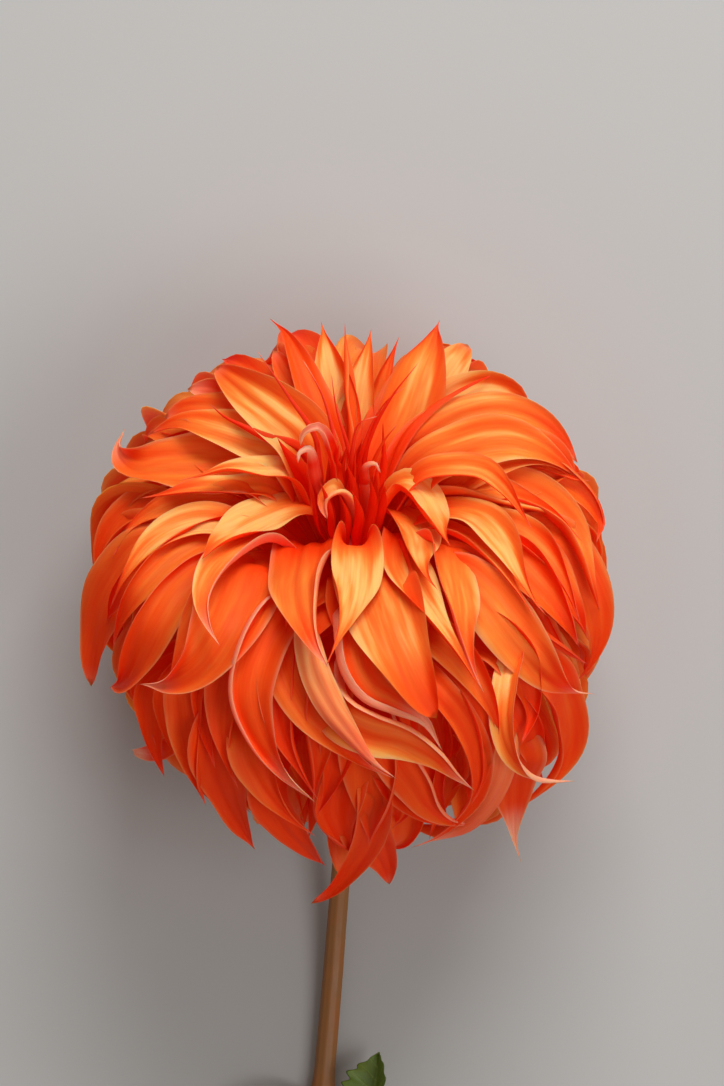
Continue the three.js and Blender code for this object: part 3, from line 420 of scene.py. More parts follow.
CROWN_FLORETS = [
    floret([0, 26, 0, 36, -1, 42, -4, 45, -8, 42, -7.5, 35], 13, 2, 18, 1.0, 0.6, 0.1, curls=(0.8, 0.9),
           hems=(2.2, 0), point=0.8, belly=0.6),
    floret([4, 24, 5, 38, 4, 50, 6, 56, 10, 57, 12, 53], 9, 2, 2, 0.3, 0.9, 0.7, roll=60, point=0.7),
    floret([-6, 32, -7, 48, -8, 60, -12, 69, -16, 67, -17.5, 62], 9, -2, 4, 0.1, 1.05, curls=(1.3, 1.3),
           roll=-115, point=0.6, belly=0.66),
    floret([-8, 30, -10, 42, -12, 55, -15, 61.5, -19, 60, -20, 56.5], 7.5, 0, 6, 0.1, 1.05,
           curls=(1.3, 1.3), roll=-115, point=0.6, belly=0.66),
    floret([-3, 30, -4, 46, -5, 58, -4, 64], 9, -1, -3),
    floret([1, 30, 1, 44, 1, 56, 2, 63], 8, 0, -5, 0.2),
    floret([7, 30, 9, 42, 11, 54, 12, 60], 8, -2, -8, 0.3, 0.1, 0.6),
    floret([1, 40, 0, 60, -4, 76, -7, 90], 3, -10, -28, 0, 0.5),
    floret([-3, 40, -5, 62, -10, 80, -18, 94], 3.5, -10, -28, 0, 0.6),
    floret([-8, 40, -12, 66, -22, 82, -34, 99], 4.5, -10, -28, 0, 0.5),
    floret([4, 40, 8, 66, 16, 82, 26, 94], 3.5, -8, -24, 0, 0.4),
    floret([3, 40, 7, 66, 14, 78, 22, 84], 3, -8, -20, 0, 0.4),
    floret([1, 36, 1, 58, 4, 70, 11, 73], 4, -6, -10, 0, 0.5),
    floret([6, 36, 8, 54, 12, 64, 18, 71], 5, -6, -10, 0.4, 0.3, 0.3),
    floret([9, 36, 11, 50, 13, 62, 14, 72], 7, -8, -16),
    floret([-8, 32, -16, 46, -22, 58, -27, 66], 14, -12, -20, curls=(0.7, 0.7)),
]


def centripetal(points, at):
    """Points on the smooth curve through the given ones, at shares of its length, and the length."""
    p = np.asarray(points, float)
    p = np.vstack([2 * p[0] - p[1], p, 2 * p[-1] - p[-2]])
    t = np.linspace(0, 1, 24, endpoint=False)[:, None]
    fine = []
    for a, b, c, d in zip(p, p[1:], p[2:], p[3:]):
        before, here, after = (max(np.linalg.norm(v) ** 0.5, 1e-4) for v in (b - a, c - b, d - c))
        start = ((b - a) / before - (c - a) / (before + here) + (c - b) / here) * here
        end = ((c - b) / here - (d - b) / (here + after) + (d - c) / after) * here
        square, cube = 3 * c - 3 * b - 2 * start - end, 2 * b - 2 * c + start + end
        fine.append(b + start * t + square * t**2 + cube * t**3)
    fine = np.vstack([*fine, p[-2:-1]])
    walk = np.concatenate([[0], np.cumsum(np.linalg.norm(np.diff(fine, axis=0), axis=1))])
    places = np.asarray(at) * walk[-1]
    return np.stack([np.interp(places, walk, fine[:, k]) for k in range(3)], 1), walk[-1]


def unit(vectors, least=0.0):
    """Vectors at length 1; one that is shorter than the least length stays short."""
    return vectors / np.maximum(np.linalg.norm(vectors, axis=-1, keepdims=True), least)


def reach(direction):
    """How far the petals reach from the head's middle in one direction."""
    along = direction @ AXIS
    polar = math.degrees(math.acos(max(-1.0, min(1.0, along))))
    side = direction - along * AXIS
    size = np.linalg.norm(side)
    back = max(0.0, -(side @ FRONT) / size) if size > 1e-6 else 0.0
    globe = (HEAD_REACH - CROWN_REACH) * smooth(polar / CROWN_RIM)
    rise = CROWN_BACK_RISE * back * smooth(polar / BACK_RISE_FULL)
    return CROWN_REACH + globe + rise * (1 - smooth((polar - BACK_RISE_FADE) / BACK_RISE_FADE))


def globe_height(x, y):
    """Height of the globe of petals over the head's middle, seen from above."""
    nearest, height = math.inf, 0.0
    for z in SEARCHED_HEIGHTS:
        p = np.array([x, y, z])
        distance = np.linalg.norm(p)
        gap = distance - reach(p / distance)
        if gap <= 0:
            return z
        if gap < nearest:
            nearest, height = gap, z
    return height


def root_for(point, towards_axis):
    """A place just inside the core's skin, under a point or some share of the way to the axis."""
    out = unit(point - CORE)
    return CORE + unit(out + (AXIS - out) * towards_axis) * (CORE_RADIUS - ROOT_DEPTH)


def placed_route(row):
    """From the core over the globe of petals, sunk in it at the crown and proud of it at the tip,
    unless the row gives its heights."""
    xy = np.array(row["path"], float).reshape(-1, 2)
    last = len(xy) - 1
    points = [
        np.array([x, y, globe_height(x, y) + row["lift"] - PETAL_SINK + PETAL_PROUD * i / last])
        for i, (x, y) in enumerate(xy)
    ]
    for point, height in zip(points, row.get("heights", ())):
        point[2] = height
    return [root_for(points[0], 0.4), *points]


def floret_route(path, start, end):
    """From inside the dome along the plane through the axis, and off it by the distances given."""
    xy = np.array(path, float).reshape(-1, 2)
    last = len(xy) - 1
    rise = math.tan(math.radians(FACE_ANGLE))
    points = [np.array([path[0] / 2, 0, 0]) + AXIS * DOME_RISE]
    for i, (x, y) in enumerate(xy):
        points.append(np.array([x, y, y * rise + start + (end - start) * (i / last) ** 1.5]))
    return points


def head_direction(polar, around):
    """The direction at an angle from the axis, and at an angle round it from the front."""
    polar, around = math.radians(polar), math.radians(around)
    side = FRONT * math.cos(around) + RIGHT * math.sin(around)
    return AXIS * math.cos(polar) + side * math.sin(polar)


def out_of_core(direction, far, share):
    """A point that leaves the core and is the far distance out where the share gets to 1."""
    out = math.sin(math.pi / 2 * min(1, share))
    return direction * (BURIED_ROOT + (far - BURIED_ROOT) * out)


def rule_route(i):
    """A petal of the rule leaves the core, arches out to the globe and hangs towards the stem."""
    share = ((i + 0.5) / RULE_PETALS) ** RULE_CROWDING
    tip = RULE_FIRST_POLAR + (RULE_LAST_POLAR - RULE_FIRST_POLAR) * share
    tip += RULE_TIP_SCATTER * vary(i, 1)
    around = i * GOLDEN_ANGLE + RULE_TURN_SCATTER * vary(i, 2)
    swirl = RULE_SWIRL * vary(i, 3)
    points = []
    for t in (0, 0.3, 0.55, 0.8, 1):
        polar = tip * (RULE_START_SHARE + (1 - RULE_START_SHARE) * t**1.15)
        direction = head_direction(polar, around + swirl * t * t)
        globe = reach(direction)
        hidden = RULE_HIDDEN_SINK * smooth(direction[2] / 0.3)
        hidden = hidden + RULE_PULLED_IN * smooth(-direction[0] / 0.3) * smooth(-direction[1] / 0.5)
        sunk = globe - RULE_SINK - hidden + RULE_PROUD * t + RULE_DEPTH_SCATTER * vary(i, 4) * t
        pressed = smooth((-direction[2] - PRESSED_FROM) / 0.3)
        point = out_of_core(direction, sunk + (globe + PRESSED_PAST - sunk) * pressed, t / RULE_FULL_FROM)
        point[1] -= LIMIT_STRENGTH * max(0.0, point[1] - TOP_LIMIT)
        past_round = max(0.0, 1 - ROUND_LIMIT / math.hypot(point[0], point[1]))
        point[:2] *= 1 - LIMIT_STRENGTH * past_round * smooth(point[1] / 30)
        points.append(point)
    return points


def nape_route(i):
    """A shorter petal that closes the head round the bracts, inside the petals of the rule."""
    tip = NAPE_FIRST_POLAR + (NAPE_LAST_POLAR - NAPE_FIRST_POLAR) * (i + 0.5) / NAPE_PETALS
    around = i * GOLDEN_ANGLE + 7 * vary(i, 15)
    points = []
    for t in (0, 0.35, 0.7, 1):
        direction = head_direction(tip * (NAPE_START_SHARE + (1 - NAPE_START_SHARE) * t),
                                   around + 12 * vary(i, 16) * t * t)
        far = NAPE_DEPTH * reach(direction) + NAPE_PROUD * t + 4 * vary(i, 17)
        points.append(out_of_core(direction, far, t / NAPE_FULL_FROM))
    return points


def throat_route(i):
    """A petal that lines the funnel round the crown, from the core out to the rim of the globe."""
    around = i * GOLDEN_ANGLE + 8 * vary(i, 11)
    opened = THROAT_LAST_POLAR + 6 * vary(i, 12) - THROAT_FIRST_POLAR
    points = [head_direction(10, around) * THROAT_START]
    for t in (0, 0.4, 0.75, 1):
        direction = head_direction(THROAT_FIRST_POLAR + opened * t, around + 12 * vary(i, 13) * t)
        points.append(direction * (reach(direction) - THROAT_SINK + THROAT_PROUD * t))
    return points


def over_table(points, thickness):
    """Keeps a line above the table, with a soft bend where it comes down on it."""
    low = thickness / 2 - HEAD_HEIGHT
    over = (points[:, 2] - low) / TABLE_BEND
    bent = np.where(over > 20, over, np.log1p(np.exp(np.minimum(over, 20))))
    points[:, 2] = low + TABLE_BEND * bent
    return points


def turned_frames(points, facing, belly):
    """Face normals and side directions along a line, turned as little as possible. At the belly the
    face looks away from the head's middle, and upwards by the facing."""
    tangents = unit(np.gradient(points, axis=0))
    middle = round(belly * (len(points) - 1))
    normals = np.zeros_like(tangents)
    normals[middle] = unit(points[middle]) + facing * UP
    order = [(middle, middle)]
    order += [(i, i - 1) for i in range(middle + 1, len(points))]
    order += [(i, i + 1) for i in range(middle - 1, -1, -1)]
    for i, before in order:
        normals[i] = unit(normals[before] - (normals[before] @ tangents[i]) * tangents[i])
    return normals, np.cross(tangents, normals)


def petal_outline(s, belly, claw, point):
    """Share of the full width along a petal: the claw at its root, 1 at the belly and 0 at the tip."""
    rise = claw + (1 - claw) * np.sin(np.pi / 2 * np.clip(s / belly, 0, 1)) ** 1.3
    fall = np.cos(np.pi / 2 * np.clip((s - belly) / (1 - belly), 0, 1)) ** point
    return np.where(s < belly, rise, fall)


def to_frame(places, shift=FOOTPRINT_SHIFT):
    """From millimetres round the head's middle line to the frame's metres."""
    return (places + np.array([0, shift, 0])) * MM


def add_object(name, mesh):
    made = bpy.data.objects.new(name, mesh)
    bpy.context.scene.collection.objects.link(made)
    return made


class Sheaf:
    """Closed shells that together are the mesh of one piece."""

    def __init__(self):
        self.places, self.faces, self.marks = [], [], []
        self.count = 0

    def add(self, rings, poles, marks=None, backwards=False):
        """A shell: rings of corners, row after row, and a fan from its own pole to each end ring.
        Backwards is for rings that run the other way round, so that the faces look outwards."""
        rows, around = rings.shape[:2]
        here = np.arange(around)
        after = (here + 1) % around
        row = np.arange(rows - 1)[:, None] * around
        sides = np.stack([row + here, row + after, row + after + around, row + here + around], -1)
        end, pole = (rows - 1) * around, np.full(around, rows * around)
        fans = np.stack([end + here, end + after, pole + 1], 1), np.stack([after, here, pole], 1)
        groups = (sides.reshape(-1, 4), *fans)
        faces = [tuple(face) for group in groups for face in (group + self.count).tolist()]
        self.faces += [(face[0], *face[:0:-1]) for face in faces] if backwards else faces
        self.places.append(np.vstack([rings.reshape(-1, 3), *poles]))
        self.marks.append(np.zeros((rows * around + 2, MARKS)) if marks is None else marks)
        self.count += rows * around + 2

    def piece(self, name, material, shift=FOOTPRINT_SHIFT):
        """The mesh with its marks: spot is across, along and back, look is gold, blush and deep, and
        grain is the way across and along in metres, and the petal's own step."""
        mesh = bpy.data.meshes.new(name)
        mesh.from_pydata(to_frame(np.vstack(self.places), shift).tolist(), [], self.faces)
        marks = np.vstack(self.marks)
        for k, field in enumerate(("spot", "look", "grain")):
            attribute = mesh.attributes.new(field, "FLOAT_VECTOR", "POINT")
            attribute.data.foreach_set("vector", marks[:, 3 * k : 3 * k + 3].astype(np.float32).ravel())
        mesh.shade_smooth()
        mesh.materials.append(material)
        return add_object(name, mesh)


def round_both(upper, lower):
    """Goes across the upper side of a sheet and back across its lower side, with the two edges once."""
    return np.concatenate([upper, lower[:, -2:0:-1]], axis=1)


def shell_marks(rows, u, s, edge_back):
    """The marks of a shell with two poles at the end, and the same marks seen as its rings."""
    marks = np.zeros((rows * (2 * len(u) - 2) + 2, MARKS))
    rings = marks[:-2].reshape(rows, -1, MARKS)
    rings[..., ACROSS] = round_both(u[None], u[None])
    rings[..., ALONG] = s[:rows, None]
    rings[..., BACK] = round_both(edge_back * (abs(u) == 1)[None], np.ones((1, len(u))))
    return marks, rings


def columns_across(half):
    """Shares across a petal, close together at its thin edges."""
    inner = np.linspace(0, 0.93, half - 1)
    right = np.concatenate([inner, [0.985, 1.0]])
    return np.concatenate([-right[:0:-1], right])


def petal_line(route, form, s):
    """Points, face normals and side directions along a petal, its half widths and its length."""
    points, length = centripetal(route, s)
    sway = SWAY * s * np.sin(2 * np.pi * (0.9 * s + vary(form["seed"], 25)))
    aside = unit(np.cross(np.gradient(points, axis=0), points), 1e-6)
    points = over_table(points + aside * sway[:, None], form["thickness"])
    belly = form["belly"]
    normals, sides = turned_frames(points, form["facing"], belly)
    past_belly = np.clip((s - belly) / (1 - belly), 0, 1)
    turn = np.radians(form["roll"] * smooth(s / belly) + form["twist"] * past_belly**1.5)[:, None]
    normals, sides = (normals * np.cos(turn) + sides * np.sin(turn),
                      sides * np.cos(turn) - normals * np.sin(turn))
    outline = petal_outline(s, belly, form["claw"], form["point"])
    half = np.maximum(form["width"] / 2 * outline, TIP_WIDTH / 2)
    half[-1] = 0
    return points, normals, sides, half[:, None], length


def petal_section(s, u, half, form):
    """How the rows of a petal roll up: at each corner its lean, its way out and its rise."""
    opening = 0.5 + 0.5 * smooth(s / form["belly"])
    ends = form["gutter"] * (1 - smooth((s - form["hold"]) / form["release"]))
    ends = ends + form["tip_roll"] * smooth((s - TIP_ROLL_FROM) / (1 - TIP_ROLL_FROM))
    hemmed = smooth((s - form["hem_start"]) / 0.3)
    halves = []
    for side, curl, hem in zip((-1, 1), form["curls"], form["hems"]):
        size = np.concatenate([[0], side * u[u * side > 0][::side]])
        in_hem = smooth((size - form["hem_from"]) / (1 - form["hem_from"]))
        lean = (curl * opening + ends)[:, None] * size + (hem * hemmed)[:, None] * in_hem
        between, step = (lean[:, 1:] + lean[:, :-1]) / 2, np.diff(size)
        out = np.cumsum(np.cos(between) * step, axis=1) * half * side
        rise = np.cumsum(np.sin(between) * step, axis=1) * half
        halves.append([grid[:, ::side] for grid in (lean[:, 1:], out, rise)])
    midrib = np.zeros_like(half)
    lean, out, rise = (np.hstack([left, midrib, right]) for left, right in zip(*halves))
    return lean, out, rise + half * petal_waves(s[:, None], u, form)


def petal_waves(s, u, form):
    """The ruffle of the edges and the lengthwise ridges, as shares of half the width."""
    seed = form["seed"]
    open_part = smooth(s / 0.3) * (1 - smooth((s - 0.88) / 0.12))
    phase = np.where(u < 0, 3.1 * vary(seed, 21), 3.1 * vary(seed, 22))
    ruffle = form["ruffle"] * abs(u) ** 2.5 * np.sin(2 * np.pi * form["waves"] * s + phase)
    folds = 1.3 + 0.35 * vary(seed, 24)
    ridge = form["ridge"] * (np.cos(2 * np.pi * u * folds + 0.8 * vary(seed, 23)) - 1)
    return open_part * (ruffle + ridge * (1 - abs(u) ** 4))


def petal_facets(middle, normals, lean):
    """Where each facet of a petal's middle sheet faces."""
    facet = np.cross(np.gradient(middle, axis=1), np.gradient(middle, axis=0))
    size = np.linalg.norm(facet, axis=2)[..., None]
    facet = np.where(size > 1e-7, unit(facet, 1e-7), normals[:, None])
    turned = np.sum(facet * normals[:, None], axis=2) < 0
    return facet * np.where((lean < ROLLED_OVER) & turned, -1, 1)[..., None]


def add_petal(sheaf, route, form, grid):
    """Adds one petal: an arched, ridged and ruffled blade with thin edges, closed at its tip and root."""
    form = PETAL_DEFAULTS | form
    rows, half_columns = grid
    s = np.linspace(0, 1, rows + 1)
    s = s + CLOSER_ROWS * np.sin(2 * np.pi * s)
    u = columns_across(half_columns)
    points, normals, sides, half, length = petal_line(route, form, s)
    lean, out, rise = petal_section(s, u, half, form)
    middle = points[:, None] + sides[:, None] * out[..., None] + normals[:, None] * rise[..., None]
    facet = petal_facets(middle, normals, lean)
    body = np.sqrt(1 - abs(u) ** 6) * (form["thickness"] / 2) * (1 - EDGE_THINNING * abs(u) ** 2)
    body = (body * (1 - TIP_THINNING * s)[:, None])[..., None]
    upper, lower = middle + facet * body, middle - facet * body
    for sheet, other in ((upper, lower), (lower, upper)):
        floor = np.where(sheet[..., 2] > other[..., 2], UPPER_FLOOR, LOWER_FLOOR) - HEAD_HEIGHT
        np.maximum(sheet[..., 2], floor, out=sheet[..., 2])

    marks, rings = shell_marks(rows, u, s, 0.5)
    marks[:, GOLD], marks[:, BLUSH], marks[:, DEEP] = form["gold"], form["blush"], form["deep"]
    # Painted light and shade: facets turned to the key light are painted more gold, as a highlight, and
    # facets turned away redder, as shade.
    lit = np.clip(facet[:rows] @ LIT_SIDE, -1, 1)
    lit = np.clip(round_both(lit, -lit), 0, 1)
    shaded = form["shaded"]
    rings[..., GOLD] *= 1 + SHADE_GOLD * shaded + (LIGHT_GOLD[0] + LIGHT_GOLD[1] * shaded) * lit**1.5
    rings[..., DEEP] += SHADE_RED * shaded * (1 - lit) ** 2
    rings[..., SIDE] = rings[..., ACROSS] * np.maximum(half[:rows], form["width"] * PATTERN_LEAST) * MM
    rings[..., RUN] = s[:rows, None] * length * MM
    marks[:, SEED] = form["seed"] * PATTERN_STEP
    marks[-1, [ALONG, BACK, RUN]] = 1, 0.5, length * MM
    up = HEAD_HEIGHT * UP
    root, tip = middle[0].mean(0), middle[-1, 0]
    sheaf.add(round_both(upper[:rows], lower[:rows]) + up, (root + up, tip + up), marks)


def operator(operation, swapped=False):
    """A Python operator that makes a maths node; swapped is for one whose left side is a plain number."""
    return lambda self, other: self.maths(operation, *((other, self) if swapped else (self, other)))


class Socket:
    """A shader or geometry socket that plain Python expressions work on."""

    __add__, __sub__, __mul__ = operator("ADD"), operator("SUBTRACT"), operator("MULTIPLY")
    __truediv__, __pow__ = operator("DIVIDE"), operator("POWER")
    __radd__, __rsub__ = operator("ADD", True), operator("SUBTRACT", True)

    def __init__(self, tree, link):
        self.tree, self.link = tree, link

    def node(self, kind, inputs=None, output=0, **settings):
        """A new node: its settings come first, then the values or links of its sockets."""
        made = self.tree.nodes.new(kind)
        for name, value in settings.items():
            setattr(made, name, value)
        fill_inputs(made, inputs or {})
        return Socket(self.tree, made.outputs[output])

    def maths(self, operation, first, second=None, clamp=False):
        inputs = {0: first} if second is None else {0: first, 1: second}
        return self.node("ShaderNodeMath", inputs, operation=operation, use_clamp=clamp)

    def clipped(self):
        return self.maths("ADD", self, 0.0, clamp=True)

    def size(self):
        return self.maths("ABSOLUTE", self)

    def step(self, low, high):
        """0 below low and 1 above high, with a smooth change between them."""
        return self.node("ShaderNodeMapRange", {0: self, 1: low, 2: high}, interpolation_type="SMOOTHSTEP")

    def paint(self, under, over, blend="MIX"):
        """The first colour where this is 0, and the second or its blend with the first where it is 1."""
        return self.node("ShaderNodeMix", {0: self, 6: rgba(under), 7: rgba(over)}, 2,
                         data_type="RGBA", blend_type=blend)

    def scaled(self, factor):
        return self.node("ShaderNodeVectorMath", {0: self, "Scale": factor}, operation="SCALE")

    def parts(self):
        """The three numbers of a vector."""
        split = self.node("ShaderNodeSeparateXYZ", {0: self}).link.node
        return [Socket(self.tree, output) for output in split.outputs]

    def joined(self, *parts):
        """A vector of up to three numbers, with 0 for the rest."""
        return self.node("ShaderNodeCombineXYZ", dict(enumerate(parts)))

    def noise(self, scale, detail=3.0):
        """Noise at the places that this vector gives."""
        inputs = {"Vector": self, "Scale": scale, "Detail": detail, "Roughness": 0.55}
        return self.node("ShaderNodeTexNoise", inputs)

    def bump(self, strength, distance):
        """A normal that this height shapes."""
        return self.node("ShaderNodeBump", {"Strength": strength, "Distance": distance, "Height": self})


def fill_inputs(node, values):
    """Links sockets and sets plain values on the inputs of a node."""
    for name, value in values.items():
        if isinstance(value, Socket):
            value.tree.links.new(value.link, node.inputs[name])
        else:
            node.inputs[name].default_value = value


def rgba(color):
    """A colour's socket as it is, or its three numbers with full alpha."""
    return color if isinstance(color, Socket) else (*color, 1.0)


def new_material(name):
    """A material with its shader, and a socket to start expressions from."""
    material = bpy.data.materials.new(name)
    material.use_nodes = True
    return material, material.node_tree.nodes["Principled BSDF"], Socket(material.node_tree, None)


def mark(start, name):
    """The three numbers of a vector attribute."""
    return start.node("ShaderNodeAttribute", output=1, attribute_name=name).parts()


def object_place(start):
    return start.node("ShaderNodeTexCoord", output=3)


def petal_material(name, bloom):
    material, shader, start = new_material(name)
    across, along, back = mark(start, "spot")
    gold, blush, deep = mark(start, "look")
    side, run, seed = mark(start, "grain")
    fine_lines = start.joined(side * FINE_LINES[0], run * FINE_LINES[1], seed).noise(1.0, 4.0)
    streaks = start.joined(side * STREAKS[0], run * STREAKS[1], seed).noise(1.0, 2.0)
    edge = across.size()
    open_part = along.step(0.2, 0.6) * (1.0 - along.step(0.7, 1.0) * 0.7)
    marked = streaks.step(0.25, 0.75) * 0.45 + edge.step(0.55, 1.0) * 0.4 + 0.48
    # Gold is partly the petals' own yellow and partly a painted highlight; straw, where the gold is
    # strongest, is a painted highlight.
    gold_and_highlight = (gold * open_part * marked).clipped() ** 1.15
    face = gold_and_highlight.paint(bloom.orange, bloom.gold)
    face = (gold_and_highlight.step(0.45, 1.0) * 0.7).paint(face, bloom.straw)
    # Red at the roots and where deep is high: partly the petals' own red and partly painted shade deep in
    # the head.
    red_and_painted_shade = (deep + (1.0 - along.step(0.05, 0.5)) * 0.85 + along.step(0.75, 1.0) * 0.2).clipped()
    face = red_and_painted_shade.paint(face, bloom.red)
    plain = 1.0 - deep.clipped()
    tip = (along + blush * 0.25).step(1.0, 1.17)
    pale_back = ((blush - 0.35) * 2.0).clipped() * back * plain * 0.7
    pale_edge = blush * edge.step(0.82, 1.0) * (plain * 0.45 + 0.1)
    face = (pale_back + pale_edge + tip * 0.85).clipped().paint(face, bloom.pink)
    face = (tip * ((blush - 0.8) * 3.0).clipped() * 0.8).paint(face, bloom.cream)
    lines = (fine_lines - 0.5) * 2.8 + (streaks - 0.5) * 0.6
    shade = (0.45 - lines).clipped() * 0.55
    fill_inputs(shader, {
        "Base Color": shade.paint(face, bloom.vein, "MULTIPLY"),
        "Roughness": 0.42 + fine_lines * 0.2,
        "Normal": fine_lines.bump(0.25, 0.0003),
        "Specular IOR Level": 0.08,
        # Painted glow: a red emission stands in for the light that the petals pass on to each other.
        "Emission Color": rgba(bloom.red), "Emission Strength": bloom.inner_light,
        "Subsurface Weight": bloom.glow, "Subsurface Radius": (1.0, 0.3, 0.1), "Subsurface Scale": 0.0015,
    })
    return material


def core_material(bloom):
    material, shader, start = new_material("core_flesh")
    # Core and dome show between the petals deep in the head: their red mottle is painted shade of those
    # depths.
    mottle = object_place(start).noise(180.0)
    fill_inputs(shader, {"Base Color": mottle.paint(bloom.red, bloom.pit), "Roughness": 0.6})
    return material


def stem_material(plant):
    material, shader, start = new_material("stem_skin")
    where = object_place(start)
    x, y, z = where.parts()
    streaks = start.joined(x * 900.0, y * 30.0, z * 900.0).noise(1.0, 4.0)
    patches = where.noise(60.0)
    skin = (patches * 1.3 - 0.25).clipped().paint(plant.stem, plant.stem_green)
    skin = (patches.step(0.35, 0.7) * 0.35 + streaks * 0.2).clipped().paint(skin, plant.stem_mauve)
    cut = start.node("ShaderNodeAttribute", output=2, attribute_name="cut")
    fill_inputs(shader, {
        "Base Color": cut.step(0.9, 0.99).paint(skin, plant.pith),
        "Roughness": 0.4 + streaks * 0.25,
        "Normal": streaks.bump(0.3, 0.0004),
    })
    return material


def leaf_material(plant):
    """The third number of spot says which side faces down, and the first of look how near a vein is."""
    material, shader, start = new_material("leaf_skin")
    back, vein = mark(start, "spot")[2], mark(start, "look")[0]
    where = object_place(start)
    cells = where.noise(900.0, 2.0)
    blade = where.noise(90.0, 4.0).paint(plant.leaf_dark, plant.leaf)
    blade = (vein * 0.75).clipped().paint(blade, plant.leaf_vein)
    fill_inputs(shader, {
        "Base Color": (back * 0.5).paint(blade, plant.leaf_back),
        "Roughness": 0.45 + cells * 0.2,
        "Normal": cells.bump(0.3, 0.0003),
        "Subsurface Weight": 0.1, "Subsurface Radius": (0.4, 1.0, 0.1), "Subsurface Scale": 0.001,
    })
    return material


def floor_material(color):
    material, shader, start = new_material("pale_floor")
    cloudy = object_place(start).noise(3.0, 2.0)
    darker = tuple(c * 0.97 for c in color)
    fill_inputs(shader, {"Base Color": cloudy.paint(darker, color), "Roughness": 0.7})
    return material


def new_tree(name, inputs):
    """A geometry tree with named inputs, a socket to start from and a dict of its input sockets."""
    tree = bpy.data.node_groups.new(name, "GeometryNodeTree")
    tree.interface.new_socket("Geometry", in_out="INPUT", socket_type="NodeSocketGeometry")
    tree.interface.new_socket("Geometry", in_out="OUTPUT", socket_type="NodeSocketGeometry")
    for label, (kind, default) in {**inputs, "Material": ("Material", None)}.items():
        made = tree.interface.new_socket(label, in_out="INPUT", socket_type="NodeSocket" + kind)
        if default is not None:
            made.default_value = default
    entry = tree.nodes.new("NodeGroupInput")
    return tree, Socket(tree, None), {s.name: Socket(tree, s) for s in entry.outputs if s.name}


def end_tree(tree, start, geometry, material):
    real = start.node("GeometryNodeRealizeInstances", {0: geometry})
    finished_mesh = start.node("GeometryNodeSetMaterial", {"Geometry": real, "Material": material})
    leave = tree.nodes.new("NodeGroupOutput")
    tree.links.new(finished_mesh.link, leave.inputs[0])
    return tree


def grown(name, tree, base, values):
    """A plain mesh object from a geometry tree on a base mesh, with the tree's inputs set by identifier."""
    holder = add_object(name + "_base", base)
    modifier = holder.modifiers.new("grow", "NODES")
    modifier.node_group = tree
    identifiers = {s.name: s.identifier for s in tree.interface.items_tree if s.in_out == "INPUT"}
    for label, value in values.items():
        modifier[identifiers[label]] = value
    bpy.context.view_layer.update()
    mesh = bpy.data.meshes.new_from_object(holder.evaluated_get(bpy.context.evaluated_depsgraph_get()))
    mesh.name = name
    if not mesh.polygons:
        raise RuntimeError(f"{name} came out empty")
    holder.modifiers.clear()
    bpy.data.objects.remove(holder)
    return add_object(name, mesh)


def line_mesh(name, points):
    mesh = bpy.data.meshes.new(name)
    mesh.from_pydata(to_frame(points).tolist(), [(i, i + 1) for i in range(len(points) - 1)], [])
    return mesh


def swept_tree():
    """Sweeps a ridged round section along a line; it swells where the leaves grow."""
    tree, start, inputs = new_tree("swept stalk", {
        "Start radius": ("Float", 0.0033), "End radius": ("Float", 0.0043),
        "Swell": ("Float", 0.0), "Swell place": ("Float", 0.0), "Swell length": ("Float", 0.006),
        "Ridges": ("Float", 9.0), "Ridge share": ("Float", 0.03),
        "Sides": ("Int", 36), "Steps": ("Int", 120),
    })
    line = start.node("GeometryNodeMeshToCurve", {0: inputs["Geometry"]})
    line = start.node("GeometryNodeResampleCurve", {"Curve": line, "Count": inputs["Steps"]})
    share = start.node("GeometryNodeSplineParameter")
    place = start.node("GeometryNodeInputPosition").parts()[1]
    grow = (place - inputs["Swell place"]) / inputs["Swell length"]
    bulge = inputs["Swell"] * start.maths("EXPONENT", (grow * grow) * -1.0)
    radius = inputs["Start radius"] + (inputs["End radius"] - inputs["Start radius"]) * share + bulge
    ring = start.node("GeometryNodeCurvePrimitiveCircle", {"Resolution": inputs["Sides"], "Radius": 1.0})
    spot = start.node("GeometryNodeInputPosition")
    x, y, _ = spot.parts()
    wave = start.maths("COSINE", start.maths("ARCTAN2", y, x) * inputs["Ridges"])
    ridged = 1.0 + inputs["Ridge share"] * wave
    ring = start.node("GeometryNodeSetPosition", {"Geometry": ring, "Position": spot.scaled(ridged)})
    tube = start.node("GeometryNodeCurveToMesh",
                      {"Curve": line, "Profile Curve": ring, "Scale": radius, "Fill Caps": True})
    tube = start.node("GeometryNodeSetShadeSmooth", {"Geometry": tube})
    return end_tree(tree, start, tube, inputs["Material"])


def drawn(start, low, high, index, seed):
    """A number between low and high that the seed gives to each index."""
    inputs = {2: low, 3: high, "ID": index, "Seed": seed}
    return start.node("FunctionNodeRandomValue", inputs, 1, data_type="FLOAT")


